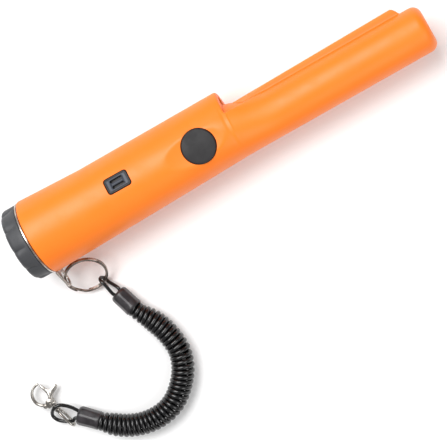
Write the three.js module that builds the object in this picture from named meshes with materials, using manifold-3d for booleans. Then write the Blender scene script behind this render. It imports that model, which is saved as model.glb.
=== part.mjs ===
// A hand-held pinpointer probe with its coiled safety lanyard.
//
// The probe lies on its side rim on the plane z = 0. +X runs from the battery cap to the
// sensing tip, +Y is the side with the raised spine and the scraping fin, and +Z is the
// side with the push button. Inside `probe`, x = 0 is the housing's rear mouth and y = z = 0
// is the mouth's centre; the group is moved at the end so that the origin is under the
// middle of the probe. Sizes are in millimetres.

import * as THREE from 'three';
import { mergeVertices } from 'three/addons/utils/BufferGeometryUtils.js';
import Module from 'manifold-3d';

const wasm = await Module();
wasm.setup();

// ---------------------------------------------------------------- driving dimensions

const rad = THREE.MathUtils.degToRad;

const GAP = 0.3; // clearance between pieces that touch

const REAR_R = 20; // housing radius at its mouth
const HANDLE_TAPER = 0.035; // radius lost per millimetre of handle
const HANDLE_LEAN = 0.0068; // how fast the handle's centre line drifts towards -Y
const HANDLE_END = 104.7; // where the handle starts to narrow into the shaft
const SHAFT_START = 136.7; // where the shaft is round again
const SHAFT_R = 11.9;
const SHAFT_EDGE = 16.7; // distance of the shaft's -Y side from the mouth's axis
const TIP_X = 219.2;
const TIP_ROUND = 4.5;
const WALL = 2.2;
const MOUTH_BORE = 16.9;

const SPINE_START = 34.7;
const SPINE_TOP = 18.55;
const STEP_X = 113.7; // the flat face that carries the lamp window
const LEDGE_Y = 7.3; // the flat ledge in front of the lamp

const FIN = { thickness: 3, rearTop: 9.6, frontTop: 11, endX: 210.2 };

const BUTTON = { x: 95.5, y: -0.6, r: 8.65, top: 16.4 };
const DISH = { r: 59, floor: 14.5 };
const GRILLE = { x: 52.5, length: 12.5, width: 7.8, turn: 12.5, out: 18.15 };
const LAMP = { y: 12.6, r: 2.5 };

const CAP = { front: -1.5, rear: -9.9, r: 19.3, lobes: 10, neckR: 16.4, neckEnd: 7.5 };
const STRAP = { rear: -1.2, front: -0.3, bore: 17, r: 19.6 };
const EAR = { root: 19.9, reach: 6.3, r: 5, hole: 3.6, turn: rad(18), bend: rad(5) };
const SPLIT = { r: 10.6, slope: rad(38.5), heading: rad(-4), atEar: rad(156), wide: 0.7, thick: 0.85 };
const BATTERY = { x: 8.6, length: 46, width: 26.2, height: 17.3, corner: 2.5 };
const BOARD = { x: 64.7, length: 41, halfWidth: 11.5, z: 3.4, thickness: 1.4 };

const CORD_D = 2.1; // the lanyard's cord
const COIL_R = 6; // outer radius of the coiled stretch
const TABLE = -REAR_R; // the surface under the probe, in the probe's own frame

// ---------------------------------------------------------------- materials

const material = (color, roughness, metalness = 0) =>
  new THREE.MeshStandardMaterial({ color, roughness, metalness });

const ORANGE = material(0xf9761a, 0.42);
const CAP_GREY = material(0x4a4b4e, 0.55);
const RUBBER = material(0x2f2d2f, 0.7);
const GRILLE_BLUE = material(0x3a4148, 0.5);
const STEEL = material(0xb9b2aa, 0.25, 1);
const NICKEL = material(0xd2d0cc, 0.2, 1);
const CORD_BLACK = material(0x1d1d1f, 0.4);
const BOARD_GREEN = material(0x1c5a35, 0.5);
const BLACK = material(0x151516, 0.6);
const COPPER = material(0xb0632e, 0.35, 1);
const FERRITE = material(0x3b3a3d, 0.6);
const FOAM = material(0x55565a, 0.95);
const CLEAR = material(0xe9eef2, 0.1);
const WRAP = material(0x2c3f5c, 0.45);
const WHITE = material(0xe4e2dc, 0.5);
const RED = material(0xa52218, 0.5);

// ---------------------------------------------------------------- geometry helpers

const lerp = THREE.MathUtils.lerp;
const smooth = THREE.MathUtils.smoothstep;
const vec = (x, y, z) => new THREE.Vector3(x, y, z);

// One closed mesh with shared corners, no flat triangles and its faces pointing out.
function closed(geometry) {
  const bare = geometry.clone();
  bare.deleteAttribute('normal');
  bare.deleteAttribute('uv');
  const merged = mergeVertices(bare, 1e-4);
  const p = merged.attributes.position;
  const source = merged.index.array;
  const kept = [];
  let volume = 0;
  const [a, b, c] = [vec(), vec(), vec()];
  for (let i = 0; i < source.length; i += 3) {
    const [u, v, w] = [source[i], source[i + 1], source[i + 2]];
    if (u === v || v === w || w === u) continue;
    kept.push(u, v, w);
    a.fromBufferAttribute(p, u);
    b.fromBufferAttribute(p, v);
    c.fromBufferAttribute(p, w);
    volume += a.dot(b.cross(c));
  }
  if (volume < 0) kept.reverse();
  const result = new THREE.BufferGeometry();
  result.setAttribute('position', p);
  result.setIndex(kept);
  return result;
}

function solid(geometry) {
  const g = closed(geometry);
  const vertProperties = Float32Array.from(g.attributes.position.array);
  const triVerts = Uint32Array.from(g.index.array);
  return new wasm.Manifold(new wasm.Mesh({ numProp: 3, vertProperties, triVerts }));
}

function fromSolid(body) {
  const mesh = body.getMesh();
  const g = new THREE.BufferGeometry();
  g.setAttribute('position', new THREE.BufferAttribute(Float32Array.from(mesh.vertProperties), 3));
  g.setIndex([...mesh.triVerts]);
  return g;
}

const cut = (from, ...tools) => tools.reduce((s, t) => s.subtract(solid(t)), from);
const join = (to, ...others) => others.reduce((s, t) => s.add(solid(t)), to);

// A solid of revolution about an axis parallel to X, from [radius, x] points.
function turned(profile, segments = 32, y = 0, z = 0) {
  const points = profile.map(([r, x]) => new THREE.Vector2(r, x));
  return new THREE.LatheGeometry(points, segments).rotateZ(-Math.PI / 2).translate(0, y, z);
}

const rod = (r, x0, x1, y = 0, z = 0, segments = 24) =>
  turned([[0, x0], [r, x0], [r, x1], [0, x1]], segments, y, z);

const pipe = (inner, outer, x0, x1, y = 0, z = 0, segments = 32) =>
  turned([[inner, x0], [outer, x0], [outer, x1], [inner, x1], [inner, x0]], segments, y, z);

function block(x0, x1, y0, y1, z0, z1) {
  return new THREE.BoxGeometry(x1 - x0, y1 - y0, z1 - z0)
    .translate((x0 + x1) / 2, (y0 + y1) / 2, (z0 + z1) / 2);
}

// An upright pin: a cylinder along Z.
const post = (r, x, y, z0, z1, segments = 24) =>
  new THREE.CylinderGeometry(r, r, z1 - z0, segments)
    .rotateX(Math.PI / 2).translate(x, y, (z0 + z1) / 2);

function roundedRect(width, height, corner) {
  const [w, h] = [width / 2, height / 2];
  const s = new THREE.Shape();
  s.moveTo(-w + corner, -h);
  s.lineTo(w - corner, -h);
  s.absarc(w - corner, -h + corner, corner, -Math.PI / 2, 0);
  s.lineTo(w, h - corner);
  s.absarc(w - corner, h - corner, corner, 0, Math.PI / 2);
  s.lineTo(-w + corner, h);
  s.absarc(-w + corner, h - corner, corner, Math.PI / 2, Math.PI);
  s.lineTo(-w, -h + corner);
  s.absarc(-w + corner, -h + corner, corner, Math.PI, Math.PI * 1.5);
  return s;
}

const slab = (shape, depth, curveSegments = 4) =>
  new THREE.ExtrudeGeometry(shape, { depth, bevelEnabled: false, curveSegments });

// A round tube along a smooth path through points.
function tube(points, diameter, steps, sides = 8) {
  const section = new THREE.Shape();
  for (let i = 0; i < sides; i += 1) {
    const a = (2 * Math.PI * (i + 0.5)) / sides;
    const [x, y] = [Math.cos(a) * diameter / 2, Math.sin(a) * diameter / 2];
    if (i === 0) section.moveTo(x, y);
    else section.lineTo(x, y);
  }
  const extrudePath = new THREE.CatmullRomCurve3(points, false, 'centripetal');
  return new THREE.ExtrudeGeometry(section, { extrudePath, steps, bevelEnabled: false });
}

const probe = new THREE.Group();

function add(name, geometry, look, parent = probe) {
  const mesh = new THREE.Mesh(closed(geometry), look);
  mesh.name = name;
  mesh.geometry.computeVertexNormals();
  parent.add(mesh);
  return mesh;
}

const addSolid = (name, body, look, parent) => add(name, fromSolid(body), look, parent);

// ---------------------------------------------------------------- housing

const handleR = (x) => REAR_R - HANDLE_TAPER * x;

// Radius and centre of the housing's round section at x. The -Y side runs on straight
// from the handle into the shaft, so the centre moves over as the radius shrinks.
function section(x) {
  const blend = smooth(x, HANDLE_END, SHAFT_START);
  const r = lerp(handleR(x), SHAFT_R, blend);
  const handleEdge = handleR(x) + HANDLE_LEAN * x;
  const edge = lerp(handleEdge, SHAFT_EDGE, smooth(x, HANDLE_END - 12, SHAFT_START));
  return { r, y: r - edge };
}

// Moves each ring of a solid of revolution onto the housing's own centre line.
function follow(geometry, outward = () => 0) {
  const p = geometry.attributes.position;
  for (let i = 0; i < p.count; i += 1) {
    const [x, y, z] = [p.getX(i), p.getY(i), p.getZ(i)];
    const r = Math.hypot(y, z);
    const grow = r > 0 ? 1 + outward(x, Math.atan2(z, y)) / r : 1;
    p.setXYZ(i, x, y * grow + section(x).y, z * grow);
  }
  return geometry;
}

const stations = (from, to, count) =>
  Array.from({ length: count + 1 }, (_, i) => lerp(from, to, i / count));

function housing() {
  const tip = stations(0, Math.PI / 2, 4).map((a) => [
    SHAFT_R - TIP_ROUND * (1 - Math.cos(a)), TIP_X - TIP_ROUND * (1 - Math.sin(a)),
  ]);
  const outside = [
    [0, 0], [REAR_R - 0.7, 0], [REAR_R - 0.03, 0.7],
    ...stations(30, HANDLE_END, 2).map((x) => [section(x).r, x]),
    ...stations(HANDLE_END + 4, SHAFT_START, 7).map((x) => [section(x).r, x]),
    ...tip, [0, TIP_X],
  ];
  const boreStart = (REAR_R - WALL - MOUTH_BORE) / HANDLE_TAPER;
  const inside = [
    [0, -1], [MOUTH_BORE, -1], [MOUTH_BORE, boreStart],
    ...stations(70, HANDLE_END, 1).map((x) => [section(x).r - WALL, x]),
    ...stations(HANDLE_END + 6, SHAFT_START, 4).map((x) => [section(x).r - WALL, x]),
    [SHAFT_R - WALL, TIP_X - 3.6], [SHAFT_R - WALL - 1, TIP_X - 2.6], [0, TIP_X - 2.6],
  ];

  // The spine swells out of the handle's +Y side and stops at a flat step.
  const spineAngle = rad(62);
  const spineHeight = (x) => SPINE_TOP - (section(x).y + section(x).r);
  const sunk = 0.12; // away from the spine this solid stays just under the handle's skin
  const spine = turned([
    [0, SPINE_START],
    ...stations(SPINE_START, HANDLE_END, 3).map((x) => [section(x).r - sunk, x]),
    ...stations(HANDLE_END + 3, STEP_X, 3).map((x) => [section(x).r - sunk, x]),
    [0, STEP_X],
  ], 40);
  follow(spine, (x, angle) => {
    const near = Math.max(0, 1 - Math.abs(angle) / spineAngle);
    return (spineHeight(x) + sunk) * smooth(near, 0, 1);
  });

  const fin = new THREE.Shape();
  fin.moveTo(STEP_X - 4, 2);
  fin.lineTo(STEP_X - 4, FIN.rearTop);
  fin.lineTo(FIN.endX - 4, FIN.frontTop);
  fin.quadraticCurveTo(FIN.endX - 1, FIN.frontTop, FIN.endX, 6);
  fin.lineTo(FIN.endX, 2);

  let body = solid(follow(turned(outside, 40)));
  body = cut(body, block(STEP_X, SHAFT_START + 10, LEDGE_Y, 40, -40, 40));
  body = join(body, spine);
  body = join(body, slab(fin, FIN.thickness).translate(0, 0, -FIN.thickness / 2));
  const skin = body;
  body = cut(body, follow(turned(inside, 36)));

  // A boss under the button keeps the wall whole where the dish is scooped out.
  const boss = solid(post(12, BUTTON.x, BUTTON.y, 9.4, 20, 28)).intersect(skin);
  body = body.add(boss);
  return cut(
    body,
    new THREE.SphereGeometry(DISH.r, 64, 40).rotateX(Math.PI / 2)
      .translate(BUTTON.x, BUTTON.y, DISH.floor + DISH.r),
    post(BUTTON.r + GAP, BUTTON.x, BUTTON.y, 5, 25, 32),
    post(BUTTON.r + 1.6, BUTTON.x, BUTTON.y, 5, 12.8, 28),
    placeOnGrille(slab(roundedRect(GRILLE.length + 2 * GAP, GRILLE.width + 2 * GAP, 1.8), 9), -6),
    rod(LAMP.r + GAP, STEP_X - 13, STEP_X + 1, LAMP.y, 0, 20),
  );
}

// Moves a piece drawn flat onto the sound outlet, `out` millimetres off its face.
function placeOnGrille(geometry, out) {
  return geometry.translate(GRILLE.x, 0, GRILLE.out + out).rotateX(rad(-GRILLE.turn));
}

addSolid('housing', housing(), ORANGE);

// ---------------------------------------------------------------- lamp in the step

add('lamp_window', rod(LAMP.r, STEP_X - 2.2, STEP_X - 0.6, LAMP.y, 0, 20), CLEAR);
add('lamp_led', turned([
  [0, STEP_X - 11.5], [2.4, STEP_X - 11.5], [2.4, STEP_X - 10.3], [2.1, STEP_X - 10.3],
  [2.1, STEP_X - 5], [1.5, STEP_X - 3.6], [0, STEP_X - 2.8],
], 20, LAMP.y), CLEAR);

// ---------------------------------------------------------------- push button

function button() {
  const flangeTop = 12.5;
  const cap = new THREE.LatheGeometry([
    [0, 9.7], [2.4, 9.7], [2.4, 11.3], [BUTTON.r + 1.2, 11.3], [BUTTON.r + 1.2, flangeTop],
    [BUTTON.r, flangeTop], [BUTTON.r, BUTTON.top - 1.5], [BUTTON.r - 0.5, BUTTON.top - 0.8],
    [BUTTON.r - 1.6, BUTTON.top - 0.35], [BUTTON.r * 0.4, BUTTON.top], [0, BUTTON.top],
  ].map(([r, z]) => new THREE.Vector2(r, z)), 32);
  return cap.rotateX(Math.PI / 2).translate(BUTTON.x, BUTTON.y, 0);
}

const boardTop = BOARD.z + BOARD.thickness;
const SWITCH_TOP = boardTop + GAP + 3;

add('button', button(), RUBBER);
add('switch_plunger', post(1.6, BUTTON.x, BUTTON.y, SWITCH_TOP - 0.6, SWITCH_TOP + 0.9, 16), BLACK);
addSolid('tact_switch', cut(
  solid(block(BUTTON.x - 3, BUTTON.x + 3, BUTTON.y - 3, BUTTON.y + 3, boardTop + GAP, SWITCH_TOP)),
  post(1.9, BUTTON.x, BUTTON.y, SWITCH_TOP - 1.6, SWITCH_TOP + 1, 16),
), BLACK);

// ---------------------------------------------------------------- sound outlet

function grille() {
  const plate = solid(slab(roundedRect(GRILLE.length, GRILLE.width, 1.5), 2));
  const slots = [-1.35, 1.35].map((y) =>
    slab(roundedRect(6.4, 1.25, 0.6), 4, 2).translate(0, y, -1));
  return fromSolid(cut(plate, ...slots));
}

add('sound_grille', placeOnGrille(grille(), -2.25), GRILLE_BLUE);
add('sound_gasket', placeOnGrille(
  new THREE.LatheGeometry([[3.3, 0], [4.9, 0], [4.9, 1], [3.3, 1], [3.3, 0]]
    .map(([r, z]) => new THREE.Vector2(r, z)), 24).rotateX(Math.PI / 2), -4.6), FOAM);
add('sounder', placeOnGrille(
  new THREE.CylinderGeometry(5.2, 5.2, 2.8, 28).rotateX(Math.PI / 2).translate(0, 0, -1.4),
  -4.9), BLACK);

// ---------------------------------------------------------------- circuit board

const boardEnd = BOARD.x + BOARD.length;
const boardUnder = BOARD.z - GAP;

add('circuit_board', block(BOARD.x, boardEnd, -BOARD.halfWidth, BOARD.halfWidth - 1,
  BOARD.z, boardTop), BOARD_GREEN);
add('processor_chip', block(76, 84, -4, 4, boardTop + GAP, boardTop + GAP + 1.3), BLACK);
add('amplifier_chip', block(70, 74, -3, 2, boardTop + GAP, boardTop + GAP + 1.3), BLACK);
add('tuning_capacitor', block(86, 90, 3, 8, boardTop + GAP, boardTop + GAP + 3), WRAP);
add('filter_capacitor', post(2.5, 79, -7.4, boardTop + GAP, boardTop + GAP + 5.2, 20), WRAP);

const MOTOR = { x: 70.7, length: 14, r: 3.4, y: -4.5, z: -5 };
add('vibration_motor', rod(MOTOR.r, MOTOR.x, MOTOR.x + MOTOR.length, MOTOR.y, MOTOR.z), STEEL);

// The off-centre weight on the motor's shaft, with the shaft stub in one piece.
function motorWeight() {
  const start = MOTOR.x + MOTOR.length + GAP;
  const half = solid(rod(3.2, start + 1, start + 4.5, MOTOR.y, MOTOR.z, 24));
  const lower = cut(half, block(start, start + 6, MOTOR.y - 5, MOTOR.y + 5, MOTOR.z + 0.5, MOTOR.z + 5));
  return join(lower, rod(0.8, start, start + 5, MOTOR.y, MOTOR.z, 12));
}
addSolid('motor_weight', motorWeight(), NICKEL);
add('motor_bracket', block(MOTOR.x + 2, MOTOR.x + 11, MOTOR.y - 4, MOTOR.y + 4,
  MOTOR.z + MOTOR.r + GAP, boardUnder), BLACK);

// ---------------------------------------------------------------- sensing coils

const SENSOR_Y = SHAFT_R - SHAFT_EDGE;

add('ferrite_rod', rod(4, 144.7, 210.7, SENSOR_Y), FERRITE);
add('coil_former', turned([
  [4.3, 145.7], [8.8, 145.7], [8.8, 147.2], [5.3, 147.2], [5.3, 176.7], [8.8, 176.7],
  [8.8, 178.2], [5.3, 178.2], [5.3, 208.2], [8.8, 208.2], [8.8, 209.7], [4.3, 209.7], [4.3, 145.7],
], 24, SENSOR_Y), WHITE);
add('transmit_coil', pipe(5.6, 8.3, 147.5, 176.4, SENSOR_Y, 0, 24), COPPER);
add('receive_coil', pipe(5.6, 8.3, 178.5, 207.9, SENSOR_Y, 0, 24), COPPER);
add('tip_foam', rod(8.6, 211.1, TIP_X - 3, SENSOR_Y, 0, 24), FOAM);
add('rear_foam', pipe(4.4, 9.2, 140.7, 145.3, SENSOR_Y, 0, 24), FOAM);

for (const [name, side, look] of [['coil_lead_red', 1, RED], ['coil_lead_white', -1, WHITE]]) {
  add(name, tube([
    vec(boardEnd + GAP, -4 + 2 * side, 4.1), vec(boardEnd + 6, -4 + 2 * side, 4.1),
    vec(123.7, SENSOR_Y + 2 * side, 2), vec(134.7, SENSOR_Y + 2 * side, 0.5),
    vec(144.3, SENSOR_Y + 2 * side, 0),
  ], 1.2, 14), look);
}

// ---------------------------------------------------------------- battery

const batteryEnd = BATTERY.x + BATTERY.length;
const batteryBlock = slab(roundedRect(BATTERY.width, BATTERY.height, BATTERY.corner), BATTERY.length, 3)
  .rotateY(Math.PI / 2).rotateX(Math.PI / 2).translate(BATTERY.x, -0.3, 0);

add('battery', batteryBlock, WRAP);
add('battery_stud_plus', rod(2.8, batteryEnd + GAP, batteryEnd + 2.5, -6.6, 0, 20), STEEL);
add('battery_stud_minus', rod(3.8, batteryEnd + GAP, batteryEnd + 2.5, 6, 0, 6), STEEL);
add('battery_snap', block(batteryEnd + 2.8, batteryEnd + 5.2, -12, 11.4, -6, 6), BLACK);

for (const [name, side, look] of [['battery_lead_red', 1, RED], ['battery_lead_black', -1, BLACK]]) {
  add(name, tube([
    vec(batteryEnd + 5.8, 5 * side, 2), vec(batteryEnd + 7.5, 5 * side, 2.5),
    vec(BOARD.x - 2, 5 * side, 4), vec(BOARD.x - GAP, 5 * side, 4.1),
  ], 1.3, 8), look);
}

// ---------------------------------------------------------------- battery cap

// The grip's outline: wide flat lobes with narrow grooves between them.
function lobedOutline(r, depth) {
  const perLobe = 8;
  const outline = new THREE.Shape();
  for (let i = 0; i < CAP.lobes * perLobe; i += 1) {
    const turn = i / perLobe;
    const groove = Math.abs((turn % 1) - 0.5) * 2; // 1 at a groove, 0 in a lobe's middle
    const here = r - depth * Math.pow(groove, 6);
    const a = (2 * Math.PI * (turn + 0.12)) / CAP.lobes;
    if (i === 0) outline.moveTo(here * Math.cos(a), here * Math.sin(a));
    else outline.lineTo(here * Math.cos(a), here * Math.sin(a));
  }
  return outline;
}

function batteryCap() {
  const bevel = 2.4;
  const length = CAP.front - CAP.rear;
  const grip = new THREE.ExtrudeGeometry(lobedOutline(CAP.r - bevel, 1.1), {
    depth: length - bevel, bevelEnabled: true, bevelSize: bevel, bevelThickness: bevel, bevelSegments: 3,
  }).rotateY(Math.PI / 2).translate(CAP.rear + bevel, 0, 0);
  const front = block(CAP.front, CAP.front + 20, -30, 30, -30, 30);
  const thread = [];
  for (let x = 3.6; x < CAP.neckEnd - 0.8; x += 1.3) {
    thread.push([CAP.neckR - 0.6, x], [CAP.neckR + 0.15, x + 0.65]);
  }
  const neck = turned([
    [0, CAP.front - 3], [15.9, CAP.front - 3], [15.9, 0.5], [14.9, 0.5], [14.9, 2.9], [CAP.neckR - 0.6, 2.9],
    ...thread, [CAP.neckR - 0.8, CAP.neckEnd], [0, CAP.neckEnd],
  ], 40);
  return cut(
    join(cut(solid(grip), front), rod(CAP.r, CAP.front - 1.6, CAP.front, 0, 0, 48), neck),
    rod(13.4, -0.8, CAP.neckEnd + 2, 0, 0, 32),
  );
}

addSolid('battery_cap', batteryCap(), CAP_GREY);
add('cap_foam', rod(12.6, -0.5, BATTERY.x - GAP, 0, 0, 28), FOAM);
add('cap_seal_ring', new THREE.TorusGeometry(15.9, 0.7, 8, 40).rotateY(Math.PI / 2).translate(1.7, 0, 0), RUBBER);

// ---------------------------------------------------------------- lanyard strap ring

// A stamped washer with one ear bent a little towards the tip.
function strapRing() {
  const middle = (STRAP.rear + STRAP.front) / 2;
  const width = STRAP.front - STRAP.rear;
  const washer = pipe(STRAP.bore, STRAP.r, STRAP.rear, STRAP.front, 0, 0, 56);
  const side = rad(79);
  const outline = new THREE.Shape([new THREE.Vector2(-0.7, 5.9), new THREE.Vector2(-0.7, -5.9)]);
  for (let i = 0; i <= 14; i += 1) {
    const a = lerp(-side, side, i / 14);
    outline.lineTo(EAR.reach + EAR.r * Math.cos(a), EAR.r * Math.sin(a));
  }
  const eye = new THREE.Path();
  eye.absarc(EAR.reach, 0, EAR.hole, 0, 2 * Math.PI, true);
  outline.holes.push(eye);
  const ear = new THREE.ExtrudeGeometry(outline, { depth: width, bevelEnabled: false, curveSegments: 12 })
    .translate(0, 0, -width / 2).rotateY(-EAR.bend).translate(EAR.root, 0, 0)
    .rotateY(Math.PI / 2).rotateX(EAR.turn - Math.PI / 2).translate(middle, 0, 0);
  return join(solid(washer), ear);
}

addSolid('strap_ring', strapRing(), STEEL);

// ---------------------------------------------------------------- split ring

// The ring hangs in the ear and leans on the housing's side. `out` points from the ear to
// the ring's middle and `up` climbs towards the housing.
const earRadius = EAR.root + EAR.reach * Math.cos(EAR.bend);
const earHole = vec(
  (STRAP.rear + STRAP.front) / 2 + EAR.reach * Math.sin(EAR.bend),
  -earRadius * Math.cos(EAR.turn), -earRadius * Math.sin(EAR.turn));
const ringOut = vec(Math.cos(SPLIT.heading), Math.sin(SPLIT.heading), 0);
const ringSide = vec(-Math.sin(SPLIT.heading), Math.cos(SPLIT.heading), 0);
const ringUp = ringSide.clone().multiplyScalar(Math.cos(SPLIT.slope)).add(vec(0, 0, Math.sin(SPLIT.slope)));
const ringNormal = ringOut.clone().cross(ringUp);
const spoke = (angle) => ringOut.clone().multiplyScalar(SPLIT.r * Math.cos(angle))
  .addScaledVector(ringUp, SPLIT.r * Math.sin(angle));
const ringCentre = earHole.clone().sub(spoke(SPLIT.atEar));
const onRing = (angle) => ringCentre.clone().add(spoke(angle));

function splitRing() {
  const [w, t] = [SPLIT.wide, SPLIT.thick];
  const flat = [
    [-w, -t * 0.6], [-w * 0.6, -t], [w * 0.6, -t], [w, -t * 0.6],
    [w, t * 0.6], [w * 0.6, t], [-w * 0.6, t], [-w, t * 0.6], [-w, -t * 0.6],
  ].map(([r, z]) => new THREE.Vector2(SPLIT.r + r, z));
  const g = new THREE.LatheGeometry(flat, 36).rotateX(Math.PI / 2);
  return g.applyMatrix4(new THREE.Matrix4().makeBasis(ringOut, ringUp, ringNormal).setPosition(ringCentre));
}

add('split_ring', splitRing(), STEEL);

// ---------------------------------------------------------------- coiled lanyard

const COIL_Z = TABLE + COIL_R + 0.15;
const SLEEVE_Z = TABLE + 5.2;

// The coil lies on the table in a wide bend. These points are its centre line.
const coilRoute = [
  [22, -56.6], [23.3, -59.5], [26.7, -65.2], [29.7, -73], [31.1, -80.8], [30.8, -87.5], [27, -96.2],
  [19.6, -104.3], [12.3, -108.6], [4.3, -110.1], [-3.2, -109.5], [-10.8, -107], [-17.4, -102.9],
  [-22.5, -98.3],
].map(([x, y]) => vec(x, y, COIL_Z));

const UPPER = { cordEnd: vec(17.9, -44.6, SLEEVE_Z), coilEnd: vec(21.7, -55.7, COIL_Z) };
const LOWER = { coilEnd: vec(-23.05, -97.8, COIL_Z), cordEnd: vec(-31.9, -89.6, SLEEVE_Z) };

// A soft sleeve pinched onto the cord: round at the coil, flattened at the cord's end.
function sleeve({ cordEnd, coilEnd }, cordWidth, coilWidth) {
  const along = cordEnd.clone().sub(coilEnd);
  const length = along.length();
  const g = slab(roundedRect(2, 2, 0.55), length, 3);
  const p = g.attributes.position;
  for (let i = 0; i < p.count; i += 1) {
    const f = p.getZ(i) / length;
    const half = lerp(coilWidth, cordWidth, f) / 2;
    p.setXYZ(i, p.getX(i) * half, p.getY(i) * lerp(half, half * 0.86, f), p.getZ(i));
  }
  along.normalize();
  const side = vec(0, 0, 1).cross(along).normalize();
  const top = along.clone().cross(side);
  return g.applyMatrix4(new THREE.Matrix4().makeBasis(side, top, along).setPosition(coilEnd));
}

// The cord's loop through the split ring: round the wire and back into the sleeve.
const LOOP_AT = rad(-56);
const loopCentre = onRing(LOOP_AT);
const ringTangent = ringOut.clone().multiplyScalar(-Math.sin(LOOP_AT))
  .addScaledVector(ringUp, Math.cos(LOOP_AT));
const loopOut = UPPER.cordEnd.clone().sub(loopCentre);
loopOut.addScaledVector(ringTangent, -loopOut.dot(ringTangent)).normalize();
const loopSide = ringTangent.clone().cross(loopOut);
const loopPoint = (forward, sideways) => loopCentre.clone()
  .addScaledVector(loopOut, forward).addScaledVector(loopSide, sideways);
const upperAlong = UPPER.cordEnd.clone().sub(UPPER.coilEnd).normalize();
const upperSide = vec(0, 0, 1).cross(upperAlong).normalize();
const upperEnd = (sideways, rise) => UPPER.cordEnd.clone().addScaledVector(upperAlong, GAP)
  .addScaledVector(upperSide, sideways).add(vec(0, 0, rise));

const upperLoop = [
  upperEnd(-1.7, -0.5),
  upperEnd(-1.9, -0.7).addScaledVector(upperAlong, 1.5),
  loopPoint(2, 2.25), loopPoint(0, 2.35), loopPoint(-1.66, 1.66), loopPoint(-2.35, 0),
  loopPoint(-1.66, -1.66), loopPoint(0, -2.35), loopPoint(2, -2.25),
  upperEnd(1.9, 0.9).addScaledVector(upperAlong, 1.5),
  upperEnd(1.7, 0.7),
];

add('upper_cord_loop', tube(upperLoop, CORD_D, 30), CORD_BLACK);
add('upper_sleeve', sleeve(UPPER, 9.6, 9.8), RUBBER);
add('lanyard_coil', tube(coilRoute, COIL_R * 2, 40, 12), CORD_BLACK);
add('lower_sleeve', sleeve(LOWER, 10, 9.6), RUBBER);

// The lower loop goes over the swivel's barrel and comes back through its eye.
const lowerLoop = [
  [-31.2, -87.4, 4.9], [-32.9, -84.6, 5.6], [-35.2, -82, 6.6], [-37.9, -80.3, 7.3],
  [-40.6, -80.6, 7.2], [-42.8, -81.8, 5.7], [-44.2, -84, 4], [-43.5, -86.6, 3.3],
  [-41.5, -88.7, 3.2], [-38.9, -90.2, 3.3], [-36.2, -91.2, 3.9], [-34.1, -90.5, 4.6],
].map(([x, y, z]) => vec(x, y, TABLE + z));
add('lower_cord_loop', tube(lowerLoop, CORD_D, 30), CORD_BLACK);

// ---------------------------------------------------------------- snap hook

// Drawn in its own plane: x runs from the swivel to the hook's end, y to the hook's back.
const hook = new THREE.Group();
hook.position.set(-40.5, -81.2, TABLE + 3.9);
hook.rotation.z = rad(107);
probe.add(hook);

const HOOK = { thick: 2.4, rivetX: 4.2, rivetY: 1, cheek: 2.3 };

function hookBody() {
  const outline = new THREE.Shape();
  outline.moveTo(2.4, -2.2);
  outline.lineTo(5.8, -2.2);
  outline.lineTo(5.8, 2.2);
  outline.bezierCurveTo(7.5, 4.6, 9.2, 4.9, 11, 4.4);
  outline.bezierCurveTo(13.6, 3.6, 15.2, 1, 14.6, -2.9);
  outline.lineTo(16.1, -2.9);
  outline.bezierCurveTo(17.2, 1.8, 15.2, 5, 12, 6.1);
  outline.bezierCurveTo(8.6, 7.1, 5.6, 5.8, 3.9, 3.4);
  outline.lineTo(2.4, 2.6);
  const plate = solid(slab(outline, HOOK.thick, 8).translate(0, 0, -HOOK.thick / 2));
  const base = solid(block(2.2, 6, -2.6, 2.6, -HOOK.cheek, HOOK.cheek));
  const slot = block(3, 8, -4, 2, -HOOK.thick / 2, HOOK.thick / 2);
  return cut(
    cut(plate, block(3, 6.4, -4, 2, -3, 3)).add(cut(base, slot)),
    post(0.8, HOOK.rivetX, HOOK.rivetY - 1.2, -4, 4, 16),
  );
}

// The gate closes the hook's mouth; its thumb tab stands out on the open side.
function hookGate() {
  const outline = new THREE.Shape();
  outline.moveTo(3.4, -1.5);
  outline.lineTo(6.5, -4.2);
  outline.lineTo(7, -8);
  outline.bezierCurveTo(7.4, -9.4, 9.6, -9.2, 9.6, -7.8);
  outline.lineTo(9.2, -4.6);
  outline.lineTo(13.9, -3.4);
  outline.lineTo(14.1, -2.2);
  outline.lineTo(8.8, -2.6);
  outline.lineTo(6.2, -1);
  outline.lineTo(5.4, 0.7);
  outline.lineTo(3.5, 0.7);
  const plate = solid(slab(outline, 1.8, 6).translate(0, 0, -0.9));
  return cut(plate, post(0.8, HOOK.rivetX, HOOK.rivetY - 1.2, -4, 4, 16));
}

addSolid('hook_body', hookBody(), NICKEL, hook);
addSolid('hook_gate', hookGate(), NICKEL, hook);
add('gate_rivet', post(0.5, HOOK.rivetX, HOOK.rivetY - 1.2, -2.5, 2.5, 16), NICKEL, hook);
add('gate_spring', block(3.3, 5, 1.3, 1.7, -0.9, 0.9), STEEL, hook);

// The swivel: a barrel on the hook's axis and the eye that the cord's loop passes through.
function swivelEye() {
  const barrel = rod(1.5, -1.4, 1.9, 0, 0, 16);
  const wire = 0.65;
  const eye = [
    vec(-1.5, 0, -1.2), vec(-2.7, 0, -2.4), vec(-5, 0, -3), vec(-8.5, 0, -3.1), vec(-11.6, 0, -2.4),
    vec(-12.8, 0, 0), vec(-11.6, 0, 2.4), vec(-8.5, 0, 3.1), vec(-5, 0, 3), vec(-2.7, 0, 2.4),
    vec(-1.5, 0, 1.2),
  ];
  const collar = new THREE.CylinderGeometry(1, 1, 3.4, 14).rotateX(Math.PI / 2).translate(-1.3, 0, 0);
  return join(solid(barrel), tube(eye, wire * 2, 30), collar);
}

addSolid('swivel_eye', swivelEye(), NICKEL, hook);

// ---------------------------------------------------------------- final frame

probe.position.set(-(TIP_X + CAP.rear) / 2, 0, REAR_R);

const model = new THREE.Group();
model.add(probe);

export default model;
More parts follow.
